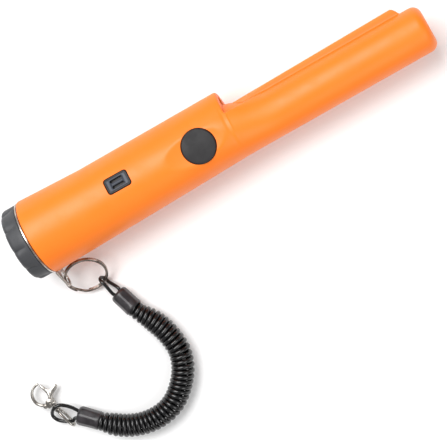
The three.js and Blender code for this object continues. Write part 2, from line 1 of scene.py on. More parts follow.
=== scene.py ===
# %% [markdown]
# # A pinpointer probe and its coiled lanyard
# A pinpointer is the small probe that a detectorist pushes into a dug hole to find the last
# centimetres to a coin. This one is an orange moulded tube with a battery cap at the back, a
# push button for the thumb, and a curly cord with a snap hook, so that it can't be left behind.
#
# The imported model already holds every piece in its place. This notebook loads it, keeps it as
# the skeleton, and puts a fine surface with a real finish over each piece.

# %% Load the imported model
import math

import bmesh
import bpy
from mathutils import Matrix, Vector


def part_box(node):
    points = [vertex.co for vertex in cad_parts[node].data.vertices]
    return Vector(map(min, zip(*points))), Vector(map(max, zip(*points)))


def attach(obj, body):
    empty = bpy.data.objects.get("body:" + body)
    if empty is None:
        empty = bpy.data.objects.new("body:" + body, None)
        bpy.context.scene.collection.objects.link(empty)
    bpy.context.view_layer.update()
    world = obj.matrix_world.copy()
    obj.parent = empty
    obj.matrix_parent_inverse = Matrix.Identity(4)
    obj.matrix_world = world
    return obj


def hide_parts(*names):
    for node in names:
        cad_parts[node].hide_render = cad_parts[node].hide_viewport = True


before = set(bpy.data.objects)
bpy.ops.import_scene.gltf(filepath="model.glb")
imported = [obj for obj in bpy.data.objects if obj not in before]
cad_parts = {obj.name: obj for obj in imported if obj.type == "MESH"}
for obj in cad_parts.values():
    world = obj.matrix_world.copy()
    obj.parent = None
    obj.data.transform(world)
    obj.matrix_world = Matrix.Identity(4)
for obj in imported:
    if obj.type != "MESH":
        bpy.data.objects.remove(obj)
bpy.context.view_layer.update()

# %% [markdown]
# ## Measuring in the probe's own millimetres
# Blender works in metres, but a maker thinks of a probe in millimetres from its rear mouth.
# So every shape below is written in millimetres, with x along the probe, and `place` turns a
# point into Blender's metres. The mouth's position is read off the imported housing.

# %% The probe's own frame
MM = 0.001
housing_low, housing_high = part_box("housing")
mouth = Vector((housing_low.x, 0, (housing_low.z + housing_high.z) / 2))


def place(x, y, z):
    return mouth + Vector((x, y, z)) * MM


TIP_X = (housing_high.x - mouth.x) / MM
TABLE_Z = -mouth.z / MM
print(f"the tip is {TIP_X:.1f} mm from the mouth, and the table {-TABLE_Z:.1f} mm under the axis")

# %% [markdown]
# ## The camera
# The probe is seen from nearly straight above through a long lens, which keeps its sides
# parallel. A camera looks along its own -Z with +Y up, so its matrix can be filled in from
# three directions: right, up and backwards. Rolling it tilts the probe across the frame.

# %% Camera
CAMERA_AT = place(213.2, 0, 830.6)
LOOKS_AT = place(85.94, -38.19, 0)
CAMERA_ROLL = -0.518

forward = (LOOKS_AT - CAMERA_AT).normalized()
level = forward.cross(Vector((0, 1, 0))).normalized()
upright = level.cross(forward)
right = level * math.cos(CAMERA_ROLL) + upright * math.sin(CAMERA_ROLL)
up = upright * math.cos(CAMERA_ROLL) - level * math.sin(CAMERA_ROLL)

lens = bpy.data.cameras.new("camera")
lens.sensor_width = 36
lens.lens = 137.5
camera = bpy.data.objects.new("camera", lens)
camera.matrix_world = Matrix.Translation(CAMERA_AT) @ Matrix((right, up, -forward)).transposed().to_4x4()
bpy.context.scene.collection.objects.link(camera)
bpy.context.scene.camera = camera
print(f"camera {(CAMERA_AT - LOOKS_AT).length:.3f} m away, lens {lens.lens} mm")

# %% [markdown]
# ## Where the lanyard goes
# The steel ring behind the housing has an ear, the split ring hangs in the ear, and the cord
# hangs on the split ring. Each one's place follows from the one before, so the points are
# worked out in that order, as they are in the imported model.

# %% The ear, the split ring and the cord's loop on it
STRAP = {"rear": -1.2, "front": -0.3, "bore": 17, "r": 19.6}
EAR = {"root": 19.9, "reach": 6.3, "r": 5, "hole": 3.6,
       "turn": math.radians(18), "bend": math.radians(5)}
SPLIT = {"r": 10.6, "slope": math.radians(38.5), "heading": math.radians(-4),
         "at_ear": math.radians(156)}
CORD_D = 2.1

strap_middle = (STRAP["rear"] + STRAP["front"]) / 2
ear_radius = EAR["root"] + EAR["reach"] * math.cos(EAR["bend"])
ear_hole = Vector((strap_middle + EAR["reach"] * math.sin(EAR["bend"]),
                   -ear_radius * math.cos(EAR["turn"]), -ear_radius * math.sin(EAR["turn"])))

ring_out = Vector((math.cos(SPLIT["heading"]), math.sin(SPLIT["heading"]), 0))
ring_side = Vector((-math.sin(SPLIT["heading"]), math.cos(SPLIT["heading"]), 0))
ring_up = ring_side * math.cos(SPLIT["slope"]) + Vector((0, 0, math.sin(SPLIT["slope"])))
ring_normal = ring_out.cross(ring_up)


def spoke(angle, radius=SPLIT["r"]):
    return ring_out * (radius * math.cos(angle)) + ring_up * (radius * math.sin(angle))


ring_centre = ear_hole - spoke(SPLIT["at_ear"])
LOOP_AT = math.radians(-56)
loop_centre = ring_centre + spoke(LOOP_AT)
ring_tangent = ring_up * math.cos(LOOP_AT) - ring_out * math.sin(LOOP_AT)
print("split ring's middle, mm:", [round(c, 1) for c in ring_centre])

# %% [markdown]
# ## The coiled cord
# A curly cord is one long straight cord wound round a rod and set with heat, so it is one
# curve here too: round the split ring, into the upper sleeve, about forty turns of helix along
# a bent centre line, into the lower sleeve, and round the hook's eye. The helix comes from a
# loop. On the inside of a bend the turns touch, and on the outside they open, which happens
# by itself when each turn stands square to the centre line.

# %% Points along smooth routes


def smooth_path(points, per_span):
    """Points on a smooth curve through the given ones."""
    ends = [points[0] * 2 - points[1], *points, points[-1] * 2 - points[-2]]
    path = []
    for a, b, c, d in zip(ends, ends[1:], ends[2:], ends[3:]):
        for i in range(per_span):
            t = i / per_span
            path.append(((b * 2) + (c - a) * t + (a * 2 - b * 5 + c * 4 - d) * t ** 2
                         + (b * 3 - a - c * 3 + d) * t ** 3) / 2)
    return [*path, points[-1]]


def path_length(path):
    return sum((b - a).length for a, b in zip(path, path[1:]))


def even_path(path, count):
    """The same route, cut into equal steps."""
    step = path_length(path) / count
    result, travelled = [path[0]], 0.0
    for a, b in zip(path, path[1:]):
        span = (b - a).length
        while len(result) < count and len(result) * step <= travelled + span:
            result.append(a.lerp(b, (len(result) * step - travelled) / span))
        travelled += span
    return [*result[:count], path[-1]]


def mix(a, b, t):
    return a + (b - a) * t


def ease(t, start=0.0, end=1.0):
    """0 before start, 1 after end, and a smooth rise between."""
    t = min(1.0, max(0.0, (t - start) / (end - start)))
    return t * t * (3 - 2 * t)


COIL_Z = TABLE_Z + 6.15
SLEEVE_Z = TABLE_Z + 5.2
coil_route = [Vector((x, y, COIL_Z)) for x, y in (
    (22, -56.6), (23.3, -59.5), (26.7, -65.2), (29.7, -73), (31.1, -80.8), (30.8, -87.5), (27, -96.2),
    (19.6, -104.3), (12.3, -108.6), (4.3, -110.1), (-3.2, -109.5), (-10.8, -107), (-17.4, -102.9),
    (-22.5, -98.3))]
mouths = (Vector((21.2, -54.9, COIL_Z)), Vector((-23.8, -97.1, COIL_Z)))
coil_line = smooth_path([mouths[0], *coil_route, mouths[1]], 24)
print(f"the coil's centre line is {path_length(coil_line):.1f} mm long")

# %% The sleeves' ends and the two loops
upper_ends = (Vector((17.9, -44.6, SLEEVE_Z)), Vector((21.7, -55.7, COIL_Z)))
lower_ends = (Vector((-31.9, -89.6, SLEEVE_Z)), Vector((-23.05, -97.8, COIL_Z)))


def sleeve_axes(ends):
    along = (ends[0] - ends[1]).normalized()
    side = Vector((0, 0, 1)).cross(along).normalized()
    return along, side, along.cross(side)


loop_out = upper_ends[0] - loop_centre
loop_out = (loop_out - ring_tangent * loop_out.dot(ring_tangent)).normalized()
loop_side = ring_tangent.cross(loop_out)
upper_along, upper_side, upper_top = sleeve_axes(upper_ends)
lower_along, lower_side, _ = sleeve_axes(lower_ends)


def round_wire(forward, sideways):
    return loop_centre + loop_out * forward + loop_side * sideways


def in_upper(forward, sideways, rise):
    return upper_ends[0] + upper_along * forward + upper_side * sideways + upper_top * rise


upper_loop = [
    in_upper(-4, -1.5, -0.4), in_upper(0, -1.7, -0.5), in_upper(1.8, -1.9, -0.7),
    round_wire(2, 2.25), round_wire(0, 2.35), round_wire(-1.66, 1.66), round_wire(-2.35, 0),
    round_wire(-1.66, -1.66), round_wire(0, -2.35), round_wire(2, -2.25),
    in_upper(1.8, 1.9, 0.9), in_upper(0, 1.7, 0.7), in_upper(-4, 1.2, 0.3)]
lower_loop = [Vector((x, y, TABLE_Z + z)) for x, y, z in (
    (-29.2, -90.9, 4.8), (-31.2, -87.4, 4.9), (-32.9, -84.6, 5.6), (-35.2, -82, 6.6),
    (-37.9, -80.3, 7.3), (-40.6, -80.6, 7.2), (-42.8, -81.8, 5.7), (-44.2, -84, 4), (-43.5, -86.6, 3.3),
    (-41.5, -88.7, 3.2), (-38.9, -90.2, 3.3), (-36.2, -91.2, 3.9), (-34.1, -90.5, 4.6),
    (-29.9, -92.9, 4.8))]
print(f"the loops take {path_length(smooth_path(upper_loop, 6)):.0f} mm"
      f" and {path_length(smooth_path(lower_loop, 6)):.0f} mm of cord")

# %% The helix
TURNS = 41
POINTS_PER_TURN = 26
HELIX_R = 4.85
THICK_TURNS = 1.12
LINE_STEPS = 400


def helix(line):
    """Turns wound round a centre line, closer and smaller in the two sleeves' mouths."""
    count = TURNS * POINTS_PER_TURN
    even = even_path(line, LINE_STEPS)
    points = []
    for i in range(count + 1):
        f = i / count
        crowd = 0.006 * (math.sin(2 * math.pi * f) - 0.35 * math.sin(6.3 * math.pi * f))
        at = min(max(f - crowd, 0.0), 1.0) * LINE_STEPS
        k = min(int(at), 399)
        centre = even[k].lerp(even[k + 1], at - k)
        along = (even[min(k + 1, LINE_STEPS)] - even[k]).normalized()
        side = Vector((0, 0, 1)).cross(along).normalized()
        growing = mix(0.66, 1, ease(f * TURNS, 0, 6))
        shrinking = mix(0.74, 1, ease((1 - f) * TURNS, 0, 4))
        radius = HELIX_R * min(growing, shrinking)
        angle = 2 * math.pi * TURNS * f
        points.append(centre + side * (radius * math.cos(angle)) + Vector((0, 0, radius * math.sin(angle))))
    return points


turns = helix(coil_line)
upper_route = [*smooth_path(upper_loop, 6), in_upper(-8, 2.4, 0)]
lower_route = smooth_path([lower_ends[0] - lower_along * 7 + lower_side * 2, *reversed(lower_loop)], 6)
cord_points = [*upper_route, *turns, *lower_route]
print(f"{TURNS} turns and {path_length(cord_points):.0f} mm of cord")

# %% Cord as one curve


def link(name, data):
    thing = bpy.data.objects.new(name, data)
    bpy.context.scene.collection.objects.link(thing)
    return thing


def wire_curve(name, points, diameter, thickness):
    curve = bpy.data.curves.new(name, "CURVE")
    curve.dimensions = "3D"
    # a curve's measured box grows by its points' radius, so the radius is in metres here
    curve.bevel_depth = 1.0
    curve.bevel_resolution = 4
    curve.use_fill_caps = True
    spline = curve.splines.new("POLY")
    spline.points.add(len(points) - 1)
    for spot, p, size in zip(spline.points, points, thickness):
        spot.co = (*place(*p), 1)
        spot.radius = size * diameter * MM / 2
    spline.use_smooth = True
    return link(name, curve)


cord_sizes = [0.88] * len(upper_route) + [THICK_TURNS] * len(turns) + [0.9] * len(lower_route)
cord = wire_curve("lanyard_cord", cord_points, CORD_D, cord_sizes)
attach(cord, "lanyard")
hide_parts("upper_cord_loop", "lanyard_coil", "lower_cord_loop")
print("cord is a curve of", len(cord_points), "points")

# %% [markdown]
# ## Shader maths as arithmetic
# A Math node is only an operation on numbers, so a small class lets a socket be added,
# subtracted and multiplied with Python's own operators. `Paint` makes every other node: it
# sets the node's own settings first and then its sockets, from values or from other sockets.

# %% Sockets that can be added and multiplied


class Wire:
    """A node's output, with operators that add Math nodes."""

    def __init__(self, paint, socket):
        self.paint, self.socket = paint, socket

    def math(self, operation, *inputs, clamp=False):
        return self.paint.node("ShaderNodeMath", {"operation": operation, "use_clamp": clamp},
                               dict(enumerate(inputs)))

    def __add__(self, other):
        return self.math("ADD", self, other)

    def __sub__(self, other):
        return self.math("SUBTRACT", self, other)

    def __rsub__(self, other):
        return self.math("SUBTRACT", other, self)

    def __mul__(self, other):
        return self.math("MULTIPLY", self, other)

    def __pow__(self, other):
        return self.math("POWER", self, other)

    __radd__ = __add__
    __rmul__ = __mul__

    def above(self, low, high):
        """0 below low, 1 above high."""
        return self.paint.node("ShaderNodeMapRange", {"interpolation_type": "SMOOTHSTEP"},
                               {"Value": self, "From Min": low, "From Max": high})

    def between(self, low, high):
        """Spread from low to high as the value goes from 0 to 1."""
        return self * (high - low) + low


def srgb(r, g, b):
    """A colour as a maker reads it off a screen, 0 to 255, in Blender's linear numbers."""
    def linear(c):
        c /= 255
        return c / 12.92 if c <= 0.04045 else ((c + 0.055) / 1.055) ** 2.4
    return (linear(r), linear(g), linear(b), 1.0)


print("orange in linear numbers:", [round(c, 3) for c in srgb(250, 118, 26)])

# %% Paint: one material and its nodes


class Paint:
    """A material under construction."""

    def __init__(self, name):
        self.material = bpy.data.materials.new(name)
        self.material.use_nodes = True
        self.tree = self.material.node_tree
        self.tree.nodes.clear()
        coordinates = self.tree.nodes.new("ShaderNodeTexCoord")
        self.spot = Wire(self, coordinates.outputs["Object"])

    def node(self, kind, settings, sockets, output=0):
        made = self.tree.nodes.new(kind)
        for key, value in settings.items():
            if key == "stops":
                while len(made.color_ramp.elements) < len(value):
                    made.color_ramp.elements.new(0.5)
                for element, (position, colour) in zip(made.color_ramp.elements, value):
                    element.position, element.color = position, colour
            else:
                setattr(made, key, value)
        for key, value in sockets.items():
            if isinstance(value, Wire):
                self.tree.links.new(value.socket, made.inputs[key])
            else:
                made.inputs[key].default_value = value
        return Wire(self, made.outputs[output])

    def noise(self, per_mm, detail=2.0, stretch=(1, 1, 1), roughness=0.5, warp=0.0):
        """Soft spots, so many to the millimetre, as a value from 0 to 1."""
        stretched = self.node("ShaderNodeMapping", {}, {"Vector": self.spot, "Scale": stretch})
        return self.node("ShaderNodeTexNoise", {}, {
            "Vector": stretched, "Scale": per_mm / MM, "Detail": detail, "Roughness": roughness,
            "Distortion": warp})

    def cells(self, per_mm):
        """The distance to the nearest of many scattered points."""
        return self.node("ShaderNodeTexVoronoi", {"feature": "F1"},
                         {"Vector": self.spot, "Scale": per_mm / MM})

    def along(self, axis):
        """How far the surface is along an axis, in millimetres."""
        split = self.tree.nodes.new("ShaderNodeSeparateXYZ")
        self.tree.links.new(self.spot.socket, split.inputs[0])
        return Wire(self, split.outputs[axis]) * (1 / MM)

    def blend(self, mask, first, second):
        """first where the mask is 0, and second where it is 1."""
        return self.node("ShaderNodeMix", {"data_type": "RGBA"},
                         {"Factor": mask, 6: first, 7: second}, output=2)

    def bump(self, height, depth_mm, under=None):
        """Relief of so many millimetres from a value between 0 and 1."""
        sockets = {"Height": height, "Distance": depth_mm * MM, "Strength": 1.0}
        if under is not None:
            sockets["Normal"] = under
        return self.node("ShaderNodeBump", {}, sockets)

    def coated(self, **sockets):
        """Closes the material with one Principled shader."""
        shader = self.node("ShaderNodeBsdfPrincipled", {}, {
            key.replace("_", " "): value for key, value in sockets.items()})
        out = self.tree.nodes.new("ShaderNodeOutputMaterial")
        self.tree.links.new(shader.socket, out.inputs["Surface"])
        return self.material


print("paint box ready")

# %% [markdown]
# ## The finishes
# Every finish below starts from how the real surface was made. Moulded plastic copies the
# fine spark-eroded grain of its mould, so its bump is a small even noise. Its colour drifts a
# little where the melt cooled unevenly, and handling leaves some patches smoother than others.

# %% Orange moulded shell


def moulded(name, light, dark, grain, depth, rough, drift=0.35, **constants):
    """A moulded finish: slow colour drift, handled patches and the mould's own grain."""
    paint = Paint(name)
    slow = paint.noise(0.035, 2.0)
    fine = paint.noise(grain, 3.0, roughness=0.6)
    handled = paint.noise(0.09, 3.0).above(0.42, 0.68)
    speck = paint.noise(grain * 0.35, 2.0)
    tone = (slow * drift + speck * (0.5 * drift) + 0.5 - 0.75 * drift)
    return paint.coated(
        Base_Color=paint.blend(tone, dark, light),
        Roughness=handled.between(rough[0], rough[1]) + fine * 0.05,
        Normal=paint.bump(fine * 0.7 + speck * 0.3, depth), **constants)


orange_shell = moulded(
    "orange_shell", srgb(255, 136, 26), srgb(250, 116, 12), 2.6, 0.012, (0.4, 0.48),
    Specular_IOR_Level=0.5)
print("made", orange_shell.name)

# %% Cap, button and sound outlet
cap_plastic = moulded(
    "cap_plastic", srgb(74, 75, 78), srgb(50, 51, 54), 2.2, 0.02, (0.46, 0.6), 0.6)
button_rubber = moulded(
    "button_rubber", srgb(40, 38, 40), srgb(24, 23, 24), 1.8, 0.022, (0.52, 0.68), 0.9)
outlet_plastic = moulded(
    "outlet_plastic", srgb(68, 73, 84), srgb(48, 52, 61), 2.4, 0.014, (0.42, 0.55), 0.5)
# Near-black rubber: the real colour of the cap's seal ring, and painted shade in the gap round the sound
# outlet and deep in its slots.
seal_rubber = moulded(
    "seal_rubber", srgb(22, 18, 18), srgb(12, 10, 10), 2.0, 0.015, (0.45, 0.6), 0.6)
print("made", cap_plastic.name, button_rubber.name, outlet_plastic.name, seal_rubber.name)

# %% [markdown]
# Metal is told from plastic by its reflections more than by its colour. Stamped steel has
# fine scratches one way, so its roughness is noise that is stretched out. Plated wire is
# smoother, and its plating is a little warmer where it is thin.

# %% Metals


def metal(name, bright, dull, stretch, rough, scratch_mm=0.006):
    paint = Paint(name)
    scratches = paint.noise(1.6, 4.0, stretch, 0.65)
    stain = paint.noise(0.22, 3.0)
    return paint.coated(
        Base_Color=paint.blend(stain.above(0.35, 0.7), bright, dull),
        Metallic=1.0,
        Roughness=scratches.between(rough[0], rough[1]) + stain * 0.05,
        Normal=paint.bump(scratches, scratch_mm))


stamped_steel = metal("stamped_steel", srgb(214, 208, 201), srgb(172, 160, 150), (0.2, 1, 1), (0.18, 0.34))
split_ring_steel = metal("split_ring_steel", srgb(196, 184, 176), srgb(116, 98, 88), (1, 1, 0.15),
                         (0.1, 0.24))
nickel_plate = metal("nickel_plate", srgb(196, 192, 186), srgb(140, 134, 128), (1, 1, 1), (0.16, 0.3), 0.01)
print("made", stamped_steel.name, split_ring_steel.name, nickel_plate.name)

# %% [markdown]
# The cord is polyurethane drawn through a die, which leaves it smooth and glossy, with a faint
# haze where it has been handled. The sleeves are softer and duller.

# %% Cord and sleeves


def drawn(name, light, dark, rough, haze, depth):
    paint = Paint(name)
    cloud = paint.noise(0.3, 3.0)
    fine = paint.noise(3.0, 2.0)
    return paint.coated(
        Base_Color=paint.blend(cloud.above(0.35, 0.75), dark, light),
        Roughness=cloud.between(rough, haze), Specular_IOR_Level=0.6,
        Normal=paint.bump(fine, depth))


cord_plastic = drawn("cord_plastic", srgb(20, 20, 22), srgb(9, 9, 10), 0.14, 0.26, 0.004)
sleeve_rubber = drawn("sleeve_rubber", srgb(52, 47, 51), srgb(28, 25, 28), 0.26, 0.44, 0.012)
cord.data.materials.append(cord_plastic)
print("made", cord_plastic.name, sleeve_rubber.name)

# %% [markdown]
# ## Surfaces from rings of points
# Most pieces here are long and round, so one helper builds them all: a list of rings, each
# with the same number of points, joined into quads. The first and last rings are either
# closed with a face, or joined to each other when the piece is itself a ring.

# %% Rings to a mesh


def finish_mesh(name, mesh, look, body, stands_for, sharp):
    edit = bmesh.new()
    edit.from_mesh(mesh)
    bmesh.ops.remove_doubles(edit, verts=edit.verts, dist=1e-7)
    bmesh.ops.recalc_face_normals(edit, faces=edit.faces)
    edit.to_mesh(mesh)
    edit.free()
    mesh.polygons.foreach_set("use_smooth", [True] * len(mesh.polygons))
    mesh.set_sharp_from_angle(angle=math.radians(sharp))
    thing = link(name, mesh)
    for one in look if isinstance(look, (list, tuple)) else [look]:
        mesh.materials.append(one)
    if body:
        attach(thing, body)
        if stands_for:
            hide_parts(*stands_for)
    return thing


def rings_mesh(name, rings, closed=False):
    """Quads between neighbouring rings of points, in millimetres."""
    n = len(rings[0])
    verts = [place(*p) for ring in rings for p in ring]
    faces = []
    pairs = list(zip(range(len(rings)), range(1, len(rings))))
    if closed:
        pairs.append((len(rings) - 1, 0))
    for a, b in pairs:
        faces += [(a * n + i, a * n + (i + 1) % n, b * n + (i + 1) % n, b * n + i) for i in range(n)]
    if not closed:
        faces += [tuple(range(n)), tuple((len(rings) - 1) * n + i for i in range(n))]
    mesh = bpy.data.meshes.new(name)
    mesh.from_pydata(verts, [], faces)
    return mesh


def ringed(name, rings, look, body, stands_for=(), closed=False, sharp=40):
    return finish_mesh(name, rings_mesh(name, rings, closed), look, body, stands_for, sharp)


def turned(profile, sides, at=(0, 0, 0), axis="x"):
    """Rings of a lathed piece, from (radius, distance along the axis) pairs."""
    rings = []
    for r, along in profile:
        ring = []
        for i in range(sides):
            a = 2 * math.pi * i / sides
            y, z = r * math.cos(a), r * math.sin(a)
            p = (along, y, z) if axis == "x" else (y, z, along)
            ring.append((p[0] + at[0], p[1] + at[1], p[2] + at[2]))
        rings.append(ring)
    return rings


def corner(r, along, radius, start, stop, steps=5):
    """An arc for a lathed profile, round a centre, between two angles in degrees."""
    return [(r + radius * math.cos(math.radians(mix(start, stop, i / steps))),
             along + radius * math.sin(math.radians(mix(start, stop, i / steps)))) for i in range(steps + 1)]


print("mesh helpers ready")

# %% [markdown]
# ## The housing
# The housing is one moulding: a handle that tapers, leans over towards one side and necks
# down into a straight shaft. A spine swells out of one side of the handle and stops at a flat
# step for the lamp, and a thin fin runs on from there to the tip. All of that can be written
# as one section for each place along the probe, so the whole surface is a single lofted skin
# with no joins, and the rounded corners are part of the formula.

# %% The housing's section, place by place
REAR_R, HANDLE_TAPER, HANDLE_LEAN = 20, 0.035, 0.0068
HANDLE_END, SHAFT_START, SHAFT_R, SHAFT_EDGE = 104.7, 136.7, 11.9, 16.7
SPINE_TOP, SPINE_ANGLE = 18.55, 62
STEP_X, LEDGE_Y, TIP_ROUND = 113.7, 7.3, 4.5
STEP_EDGE, STEP_FILLET, FILLET_STEPS = 1.3, 0.5, 6
FIN_HALF, FIN_EDGE, FIN_ROOT, FIN_FALL = 1.5, 0.45, 0.55, 206.2
BUTTON_X, BUTTON_Y, BUTTON_R, BUTTON_TOP = 95.5, -0.6, 8.65, 16.4
DISH_R, DISH_FLOOR = 59, 14.5


def core(x):
    """The radius and centre of the round part of the section."""
    handle = REAR_R - HANDLE_TAPER * x
    r = mix(handle, SHAFT_R, ease(x, HANDLE_END, SHAFT_START))
    edge = mix(handle + HANDLE_LEAN * x, SHAFT_EDGE, ease(x, HANDLE_END - 12, SHAFT_START))
    return r, r - edge


def soft_min(a, b, blend):
    h = max(0.0, blend - abs(a - b)) / blend
    return min(a, b) - h * h * blend / 4


def fin_top(x):
    if x < FIN_FALL:
        return mix(9.6, 11, (x - 110) / (FIN_FALL - 110))
    return 11 - 5 * ((x - FIN_FALL) / 4) ** 2


print("core radius and centre at the step:", [round(v, 2) for v in core(STEP_X)])

# %% [markdown]
# Points are spread evenly round the section, but crowd together where the fin will be, so
# that its corners stay crisp. The same points serve the handle, where there is no fin.

# %% A ring of points for any x
FIN_Z = (0.35, 0.7, 0.95, 1.12, 1.25, 1.36, 1.44, 1.49, 1.5, 1.52, 1.54, 1.56,
         1.6, 1.7, 1.84, 1.98, 2.1, 2.3, 2.6)
fin_angles = [math.asin(z / SHAFT_R) for z in FIN_Z]
EVEN = 172
first_even = fin_angles[-1] + 0.03
skin_angles = ([-a for a in reversed(fin_angles)] + [0.0] + fin_angles
               + [mix(first_even, 2 * math.pi - first_even, i / (EVEN - 1)) for i in range(EVEN)])


def fin_profile(z, top, base):
    """The fin's outline at a distance z from its middle: rounded edge, drafted side, filleted root."""
    z = abs(z)
    if z <= FIN_HALF:
        rounding = max(0.0, z - (FIN_HALF - FIN_EDGE)) / FIN_EDGE
        return top - FIN_EDGE * (1 - math.sqrt(max(0.0, 1 - rounding ** 2)))
    draft = (z - FIN_HALF) / 0.06
    if draft <= 1:
        return mix(top - FIN_EDGE, base + FIN_ROOT, draft)
    out = min(1.0, (z - FIN_HALF - 0.06) / FIN_ROOT)
    return base + FIN_ROOT * (1 - math.sqrt(max(0.0, 1 - (1 - out) ** 2)))


def skin_point(x, angle, shaft, inset=0.0):
    r, centre = core(x)
    y, z = r * math.cos(angle), r * math.sin(angle)
    if not shaft:
        swell = max(0.0, SPINE_TOP - (centre + r)) * ease(1 - min(abs(angle), 2 * math.pi - abs(angle))
                                                          / math.radians(SPINE_ANGLE))
        grow = (r + swell - inset) / r
        return y * grow + centre, z * grow
    if inset:
        y, z = y * (r - inset) / r, z * (r - inset) / r
    base = soft_min(y + centre, LEDGE_Y - inset, 0.5)
    if abs(z) < 3 and y > 0 and x < FIN_FALL + 5:
        plain_top = soft_min(r + centre, LEDGE_Y, 0.5)
        height = max(0.0, fin_top(x) - plain_top)
        if height > FIN_EDGE + FIN_ROOT:
            return max(base, fin_profile(z, fin_top(x), base)), z
        return base + height * (1 - ease(abs(z), 0.7, 2.1)), z
    return base, z


def dished(x, y, z):
    """Lowers the surface into the shallow dish round the button."""
    away = (x - BUTTON_X) ** 2 + (y - BUTTON_Y) ** 2
    if z < 0 or away > 26 ** 2:
        return z
    return soft_min(z, DISH_FLOOR + DISH_R - math.sqrt(DISH_R ** 2 - away), 0.45)


def skin_ring(x, shaft, inset=0.0):
    ring = []
    for angle in skin_angles:
        y, z = skin_point(x, angle, shaft, inset)
        ring.append((x, y, dished(x, y, z)))
    return ring


print(len(skin_angles), "points round the housing")

# %% The outer skin's rings


def spread(start, stop, step):
    count = max(1, round((stop - start) / step))
    return [mix(start, stop, i / count) for i in range(count)]


outer = []
for x, inset in ((0, 0.75), (0.08, 0.45), (0.25, 0.2), (0.5, 0.06), (0.75, 0)):
    outer.append(skin_ring(x, False, inset))
for first, last, pitch in ((1.5, 30, 3), (30, 46, 1), (46, 78, 2), (78, STEP_X - STEP_EDGE - 0.3, 0.6)):
    outer += [skin_ring(x, False) for x in spread(first, last, pitch)]
print(len(outer), "rings on the handle")

# %% [markdown]
# At the step, the handle's outline has to turn in to the shaft's. Each ring there slides from
# the one outline towards the other, by so many millimetres: a rounded edge on the way out,
# and a fillet where the flat face meets the ledge. Where the two outlines are the same, on
# the far side, the slide is nothing, and the skin runs straight on.

# %% The step, the shaft and the tip


def step_ring(x, out_of, into, most, share):
    ring = []
    for a, b in zip(out_of, into):
        gap = math.hypot(a[1] - b[1], a[2] - b[2])
        k = min(share, most / gap) if gap > 1e-6 else share
        ring.append((x, mix(a[1], b[1], k), mix(a[2], b[2], k)))
    return ring


before_step, after_step = skin_ring(STEP_X, False), skin_ring(STEP_X, True)
for i in range(FILLET_STEPS + 1):
    turn = math.pi / 2 * i / FILLET_STEPS
    outer.append(step_ring(STEP_X - STEP_EDGE * (1 - math.sin(turn)), before_step, after_step,
                           STEP_EDGE * (1 - math.cos(turn)), 0.5))
for i in range(FILLET_STEPS):
    turn = math.pi / 2 * i / FILLET_STEPS
    outer.append(step_ring(STEP_X + 0.02 + STEP_FILLET * (1 - math.cos(turn)), after_step, before_step,
                           STEP_FILLET * (1 - math.sin(turn)), 0.45))
for x in [*spread(STEP_X + 0.6, 140, 0.8), *spread(140, 202, 3), *spread(202, 212, 0.5),
          *spread(212, TIP_X - TIP_ROUND, 1.5)]:
    outer.append(skin_ring(x, True))
for i in range(11):
    turn = math.pi / 2 * i / 10
    outer.append(skin_ring(TIP_X - TIP_ROUND * (1 - math.sin(turn)), True, TIP_ROUND * (1 - math.cos(turn))))
outer.append(skin_ring(TIP_X, True, TIP_ROUND + 1.5))
print(len(outer), "rings from mouth to tip")

# %% The bore, with the cap's thread cut in its mouth
WALL, MOUTH_BORE, PITCH = 2.2, 16.9, 3.0


def thread(x, angle):
    """A thread's ridge: 0 in the root and 1 on the crest."""
    t = (x / PITCH + angle / (2 * math.pi)) % 1
    return ease(1 - abs(t - 0.5) * 2, 0.25, 0.75)


def bore_ring(x, inset=0.0):
    r, centre = core(x)
    bore = min(MOUTH_BORE, r - WALL) - inset
    cut = 0.3 * ease(x, 1.8, 2.8) * (1 - ease(x, 8.5, 9.5))
    reach = [bore + cut * thread(x, a) for a in skin_angles]
    return [(x, r * math.cos(a) + centre, r * math.sin(a)) for a, r in zip(skin_angles, reach)]


bore = [bore_ring(TIP_X - 2.6, 1.0), bore_ring(TIP_X - 3.6)]
bore += [bore_ring(x) for x in reversed([0.5, *spread(1.5, 10, 0.3), *spread(10, 100, 10),
                                         *spread(100, 140, 4), *spread(140, TIP_X - 6, 20)])]
bore.append(bore_ring(0.1, -0.4))
print(len(bore), "rings inside")

# %% The housing as one shell
housing = ringed("housing_shell", [*bore, *outer], orange_shell, "probe_body", ["housing"],
                 sharp=32)
print("housing faces:", len(housing.data.polygons))

# %% [markdown]
# ## Holes in the housing
# The button's well, the sound outlet's window and the lamp's socket have hard edges that
# don't follow the rings, so they are cut with boolean modifiers. The cutters are simple
# solids that are thrown away afterwards, and each result is kept as a plain mesh.

# %% Boolean cuts


def combine(thing, tool, operation="DIFFERENCE"):
    """Cuts or joins with a tool, keeps the result as the mesh, and removes the tool."""
    change = thing.modifiers.new("cut", "BOOLEAN")
    change.operation, change.object, change.solver = operation, tool, "MANIFOLD"
    bpy.context.view_layer.update()
    seen = thing.evaluated_get(bpy.context.evaluated_depsgraph_get())
    made = bpy.data.meshes.new_from_object(seen)
    thing.modifiers.clear()
    thing.data = made
    bpy.data.objects.remove(tool)
    return thing


def rounded_rect(width, height, radius, steps=6):
    w, h = width / 2 - radius, height / 2 - radius
    points = []
    for cx, cy, start in ((w, h, 0), (-w, h, 90), (-w, -h, 180), (w, -h, 270)):
        for i in range(steps + 1):
            a = math.radians(start + 90 * i / steps)
            points.append((cx + radius * math.cos(a), cy + radius * math.sin(a)))
    return points


OUTLET_X, OUTLET_LENGTH, OUTLET_WIDTH, OUTLET_OUT = 52.5, 12.5, 7.8, 18.15
OUTLET_TURN = math.radians(12.5)


def at_outlet(x, y, out):
    z = OUTLET_OUT + out
    return (OUTLET_X + x, y * math.cos(OUTLET_TURN) + z * math.sin(OUTLET_TURN),
            z * math.cos(OUTLET_TURN) - y * math.sin(OUTLET_TURN))


